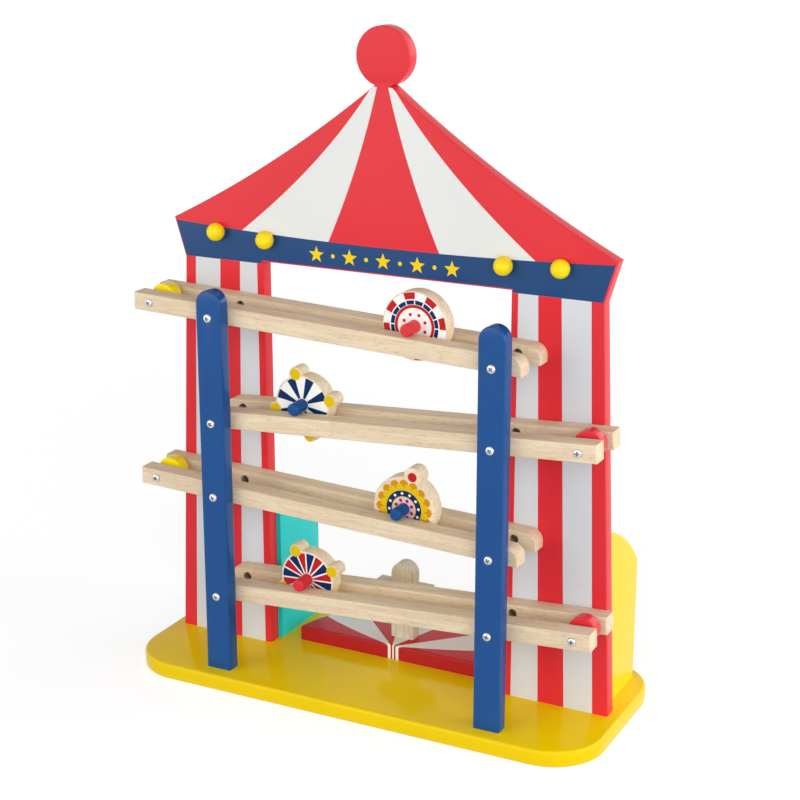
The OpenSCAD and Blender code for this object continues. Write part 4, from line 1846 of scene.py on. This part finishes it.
@dataclass
class Fasteners:
    """Knobs and screws, all set out by one node tree from shapes of unit size.

    The profiles give radius and height. SLOT is the length, the width and the depth of one bar
    of a cross recess, which tapers to SLOT_TAPER of its length.
    """

    PAN = (
        (0, -0.57), (0.3, -0.57), (0.62, -0.53), (0.85, -0.43), (0.96, -0.28),
        (1.0, -0.14), (1.0, -0.03), (0.97, 0), (0, 0),
    )
    SUNK = ((0, 0), (0.9, 0), (0.98, 0.03), (1.0, 0.08), (0.5, 0.714), (0, 0.714))
    SHANK = ((0, 0), (1, 0), (1, 0.86), (0.55, 0.97), (0, 1))
    PEG = ((0, 0), (1, 0), (1, 0.93), (0.82, 1), (0, 1))
    SLOT = (1.16, 0.34, 0.42)
    SLOT_TAPER = 0.6
    SLOT_REACH = 0.62
    SLOT_CLEAR = 0.2
    HEAD_SIDES = 40
    BALL_SIDES = 64
    SHANK_SIDES = 24
    PEG_SIDES = 32
    SHARP = 35.0
    TO_BACK = (0.0, 1.0, 0.0)
    UP = (0.0, 0.0, 1.0)

    head_r: float = 3.5
    shank_r: float = 1.75
    wheel_shank_r: float = 2.0
    base_screw_l: float = 23.0
    knob_r: float = 7.5
    knob_flat_r: float = 5.3
    knob_peg_r: float = 3.0
    knob_peg_l: float = 8.0
    knobs: tuple[Point, ...] = ((-151.5, 373.3), (-105.0, 370.8), (105.0, 370.8), (151.5, 373.3))
    ball_steps: int = 24
    recess: float = 0.5
    tree: FastenerTree = field(default_factory=FastenerTree)

    def _shape(self, name: str, bm: BMesh) -> Object:
        """An object of unit size for the tree to copy."""
        return add_object(name, to_mesh(bm, name, self.SHARP))

    def _cutter(self, face: float) -> BMesh:
        """Two crossed bars that cut a recess.

        Args:
            face: Height of the head's face.

        Returns:
            The bars.
        """
        long, wide, depth = self.SLOT
        bm = bmesh.new()
        for swap in (False, True):
            rings = []
            for share, h in ((1.0, face - self.SLOT_CLEAR), (1.0, face), (self.SLOT_TAPER, face + depth)):
                x, y = long / 2 * share, wide / 2
                if swap:
                    x, y = y, x
                rings.append([bm.verts.new((u, v, h)) for u, v in ((-x, -y), (x, -y), (x, y), (-x, y))])
            skin(bm, rings, smooth=False)
            bm.faces.new(rings[0][::-1])
            bm.faces.new(rings[-1])
        return bm

    def _crossed(self, name: str, profile: Sequence[Point]) -> Object:
        """A turned head with a cross recess.

        Args:
            name: Object name.
            profile: Radius and height of the head, its face lowest.

        Returns:
            The head.
        """
        head = self._shape(name, lathe(profile, self.HEAD_SIDES))
        face = min(h for _, h in profile)
        tool = self._shape(f"{name}_cut", self._cutter(face))
        carve = head.modifiers.new("Recess", "BOOLEAN")
        carve.operation, carve.solver, carve.use_self, carve.object = "DIFFERENCE", "EXACT", True, tool
        mesh = bake(head, name)
        head.modifiers.clear()
        head.data = mesh
        # Marks the floor of the cross recess, where the finish paints shade.
        grime = mesh.attributes.new("grime", "FLOAT", "POINT")
        floor = face + self.SLOT[2] / 2
        for i, vert in enumerate(mesh.vertices):
            deep = vert.co.z > floor and math.hypot(vert.co.x, vert.co.y) < self.SLOT_REACH
            grime.data[i].value = float(deep)
        mesh.set_sharp_from_angle(angle=math.radians(self.SHARP))
        bpy.data.objects.remove(tool)
        return head

    def _ball(self) -> list[Point]:
        """Profile of a ball with a flat at height 0.

        Returns:
            Radius and height of each point.
        """
        flat = math.acos(self.knob_flat_r / self.knob_r)
        shares = (i / self.ball_steps for i in range(self.ball_steps + 1))
        swing = [math.pi / 2 - (math.pi / 2 + flat) * share for share in shares]
        return [*((math.cos(t), -math.sin(t) - math.sin(flat)) for t in swing), (0, 0)]

    def build(self, steel: Material, paint: Material) -> None:
        """Adds the knobs and the four sets of screws.

        Args:
            steel: Finish of the screws.
            paint: Finish of the knobs.
        """
        lay, bite = LAYOUT, LAYOUT.screw_bite
        pan, sunk = self._crossed("pan_head", self.PAN), self._crossed("sunk_head", self.SUNK)
        ball = self._shape("flat_ball", lathe(self._ball(), self.BALL_SIDES))
        shank = self._shape("plain_shank", lathe(self.SHANK, self.SHANK_SIDES))
        peg = self._shape("plain_peg", lathe(self.PEG, self.PEG_SIDES))
        names = [f"knob_{i}" for i, _ in enumerate(self.knobs, 1)]
        knobs = [(x, lay.panel_y, z) for x, z in self.knobs]
        knob = (self.knob_r, self.knob_peg_r, self.knob_peg_l)
        sets = [FastenerSet("knobs", names, ball, peg, paint, knobs, knob, slot="knob_yellow")]
        ends = [(x, lay.mid_z(k, x)) for k in TRACKS for x in (-lay.post_x, lay.post_x)]
        seat = lay.panel_y - lay.rail_t + lay.bore_depth
        wheels = [lay.track_point(k, *Tracks().wheel_spot) for k in TRACKS]
        through = lay.rail_t + lay.channel_gap + bite
        screws = (
            ("post", pan, [(x, lay.post_y, z) for x, z in ends], self.shank_r, lay.post_t + bite),
            ("rail", pan, [(x, seat, z) for x, z in ends], self.shank_r, lay.bore_depth + bite),
            ("wheel", pan, [(w.x, lay.track_y, w.z) for w in wheels], self.wheel_shank_r, through),
            ("base", sunk, [(*p, self.recess) for p in BaseBoard().spots()], self.shank_r, self.base_screw_l),
        )
        for row, head, points, radius, length in screws:
            sizes = (self.head_r, radius, length)
            way = self.UP if head is sunk else self.TO_BACK
            nodes = [f"{row}_screws"]
            sets.append(FastenerSet(f"{row}_screw_set", nodes, head, shank, steel, points, sizes, way))
        for kind in sets:
            add_piece(kind.name, self.tree.set_out(kind), [], "frame", kind.slot, *kind.nodes)
        for shape in (pan, sunk, ball, shank, peg):
            bpy.data.objects.remove(shape)


# Studio


@dataclass(frozen=True)
class Lamp:
    """A round area lamp: name, place in metres, diameter and power."""

    name: str
    spot: Point3
    size: float
    power: float


@dataclass
class Studio:
    """Camera, lights, world and floor. Places are in metres, apart from the eye."""

    eye: Point3 = (624.5, -1217.1, 664.1)
    way: Point3 = (-0.4313, 0.8536, -0.2924)
    roll: float = 0.03
    lens: float = 79.38
    sensor: float = 36.0
    clip: Point = (0.05, 60.0)
    ambient: float = 0.25
    aim: Point3 = (0.0, 0.0, 0.25)
    lamps: tuple[Lamp, ...] = (
        Lamp("front_left", (-1.4, -1.9, 0.6), 2.4, 33.0),
        Lamp("front_right", (1.2, -2.0, 0.65), 2.2, 32.0),
        Lamp("side", (2.1, 0.2, 0.55), 1.8, 31.0),
        Lamp("back", (1.3, 2.0, 1.1), 1.8, 15.0),
    )
    floor_half: float = 20.0
    floor_parts: int = 8
    floor_z: float = -0.0003
    floor_grey: float = 0.45
    floor_glow: Limits = (0.4, 2.5, 0.72, 0.9)

    def build(self) -> None:
        """Sets up the whole studio."""
        bpy.context.scene.view_settings.view_transform = "Standard"
        self._camera()
        for one in self.lamps:
            light = bpy.data.lights.new(one.name, "AREA")
            light.shape, light.size, light.energy = "DISK", one.size, one.power
            holder = add_object(one.name, light)
            holder.location = one.spot
            holder.rotation_euler = (Vector(self.aim) - Vector(one.spot)).to_track_quat("-Z", "Y").to_euler()
        self._world()
        self._floor()

    def _camera(self) -> None:
        """Puts the camera where the photograph was taken from."""
        lens = bpy.data.cameras.new("camera")
        lens.lens, lens.sensor_width = self.lens, self.sensor
        lens.clip_start, lens.clip_end = self.clip
        camera = add_object("camera", lens)
        camera.location = Vector(self.eye) * MM
        turn = Vector(self.way).to_track_quat("-Z", "Y").to_matrix().to_4x4()
        camera.rotation_euler = (turn @ Matrix.Rotation(math.radians(self.roll), 4, "Z")).to_euler()
        bpy.context.scene.camera = camera

    @staticmethod
    def _seen(s: NodeSheet) -> Socket:
        """1 for rays that show the background: camera, glossy and transmission rays."""
        path = s.node("ShaderNodeLightPath").outputs
        return s.either(*(path[f"Is {kind} Ray"] for kind in ("Camera", "Glossy", "Transmission")))

    def _world(self) -> None:
        """White where it is seen, and an even soft light elsewhere."""
        world = bpy.data.worlds.new("studio")
        s = NodeSheet.blank(world)
        strength = s.ramp(self._seen(s), 0, 1, self.ambient, 1.0)
        back = s.fill(s.node("ShaderNodeBackground"), Color=(1, 1, 1, 1), Strength=strength)
        s.fill(s.node("ShaderNodeOutputWorld"), Surface=back.outputs[0])
        bpy.context.scene.world = world

    def _floor(self) -> None:
        """A pale floor that looks white and keeps the shadow."""
        bm = bmesh.new()
        parts = self.floor_parts
        bmesh.ops.create_grid(bm, x_segments=parts, y_segments=parts, size=self.floor_half)
        mesh = bpy.data.meshes.new("floor")
        bm.to_mesh(mesh)
        bm.free()
        floor = add_object("floor", mesh)
        floor.location.z = self.floor_z
        material = bpy.data.materials.new("floor")
        s = NodeSheet.blank(material)
        matte = s.fill(s.node("ShaderNodeBsdfDiffuse"), Color=(*[self.floor_grey] * 3, 1))
        reach = s.node("ShaderNodeVectorMath", operation="LENGTH")
        s.feed(reach.inputs[0], s.place())
        glow = s.ramp(reach.outputs["Value"], *self.floor_glow)
        lift = s.fill(s.node("ShaderNodeEmission"), Strength=s.both(self._seen(s), glow))
        shader = s.node("ShaderNodeAddShader")
        for socket, part in zip(shader.inputs, (matte, lift)):
            s.feed(socket, part.outputs[0])
        s.fill(s.node("ShaderNodeOutputMaterial"), Surface=shader.outputs[0])
        mesh.materials.append(material)


def rollers() -> dict[int, Roller]:
    """Sets out the four rollers.

    Returns:
        The rollers by track.
    """
    plain = {"disc": Disc.PLAIN, "radius": 27.5}
    cabins = {"disc": Disc.CABINS, "radius": 24.5, "bump_r": 5.6, "bump_pitch": 25.8}
    lobe = {"disc": Disc.LOBE, "radius": 27.0, "bump_r": 7.8, "bump_pitch": 28.5}
    return {
        1: Roller(1, place=44.0, turn=0.0, **plain),
        2: Roller(2, place=56.0, turn=14.0, **cabins),
        3: Roller(3, place=35.0, turn=75.0, **lobe),
        4: Roller(4, place=54.0, turn=25.0, **cabins),
    }


def main() -> None:
    """Builds the tower's sub-assemblies and the studio."""
    logging.basicConfig(level=logging.INFO, format="%(name)s %(message)s")
    gloss = {"rough": 0.24, "coat": 0.1}
    disc_grain = {"turn": (0, math.radians(24), 0), "fineness": 1.3}
    # The upright's cooler, greyer wood paints its shade.
    upright_grain = {"dark": Ink.COOL_GRAIN, "turn": (0, math.radians(90), 0)}
    base_look = {"rough": 0.13, "spread": 0.05, "sheen": 0.1, "coat": 0.0}
    red = PaintFinish("red paint", Ink.RED).make()
    yellow = PaintFinish("yellow paint", Ink.YELLOW).make()
    blue = PaintFinish("blue paint", Ink.BLUE, rough=0.18, coat=0.2).make()
    teal = PaintFinish("teal paint", Ink.TEAL).make()
    gloss_red = PaintFinish("gloss red paint", Ink.RED, **gloss).make()
    gloss_yellow = PaintFinish("gloss yellow paint", Ink.LEMON, **gloss).make()
    gloss_blue = PaintFinish("gloss blue paint", Ink.BLUE, **gloss).make()
    steel = SteelFinish("zinc steel", Ink.STEEL).make()
    disc_wood = WoodFinish("disc wood", Ink.DISC_WOOD, **disc_grain).make()
    upright_wood = WoodFinish("upright wood", Ink.COOL_WOOD, **upright_grain).make()
    rail_wood = {
        1: WoodFinish("rail wood down right", Ink.PALE_WOOD, turn=(0, -LAYOUT.slope(1), 0)).make(),
        0: WoodFinish("rail wood down left", Ink.PALE_WOOD, turn=(0, LAYOUT.slope(2), 0)).make(),
    }
    BaseBoard().build(PaintFinish("base paint", Ink.YELLOW, **base_look).make())
    TentPanel().build(PaintFinish("tent print", Ink.RED, TentMotif()).make(), red)
    FrontPosts().build(blue)
    wheel_looks = {0: (gloss_red, "wheel_red"), 1: (gloss_yellow, "wheel_yellow")}
    Tracks().build(rail_wood, {k: wheel_looks[k % 2] for k in TRACKS})
    discs = rollers()
    motifs = {
        1: RingMotif(discs[1].spot),
        2: WheelMotif(discs[2].spot, Fan.SPOKES, phase=26.5, cabin_turn=discs[2].turn),
        3: RosetteMotif(discs[3].spot, discs[3].turn),
        4: WheelMotif(discs[4].spot, Fan.WEDGES, phase=36.8, cabin_turn=discs[4].turn),
    }
    for k, disc in discs.items():
        printed = WoodFinish(f"disc print {k}", Ink.DISC_WOOD, motifs[k], sheen=0.12, **disc_grain).make()
        paint, slot = (gloss_red, "axle_red") if k in (1, 4) else (gloss_blue, "axle_blue")
        disc.build(printed, disc_wood, paint, slot)
    RearBraces().build(teal, yellow)
    stage_top = PaintFinish("stage print", Ink.STAGE_RED, StageMotif()).make()
    # The edge and underside get the darker red, which paints their shade.
    shaded_stage_edge = PaintFinish("stage edge print", Ink.STAGE_EDGE, StageMotif()).make()
    Stage().build(stage_top, shaded_stage_edge, upright_wood)
    Fasteners().build(steel, gloss_yellow)
    Studio().build()


if __name__ == "__main__":
    main()
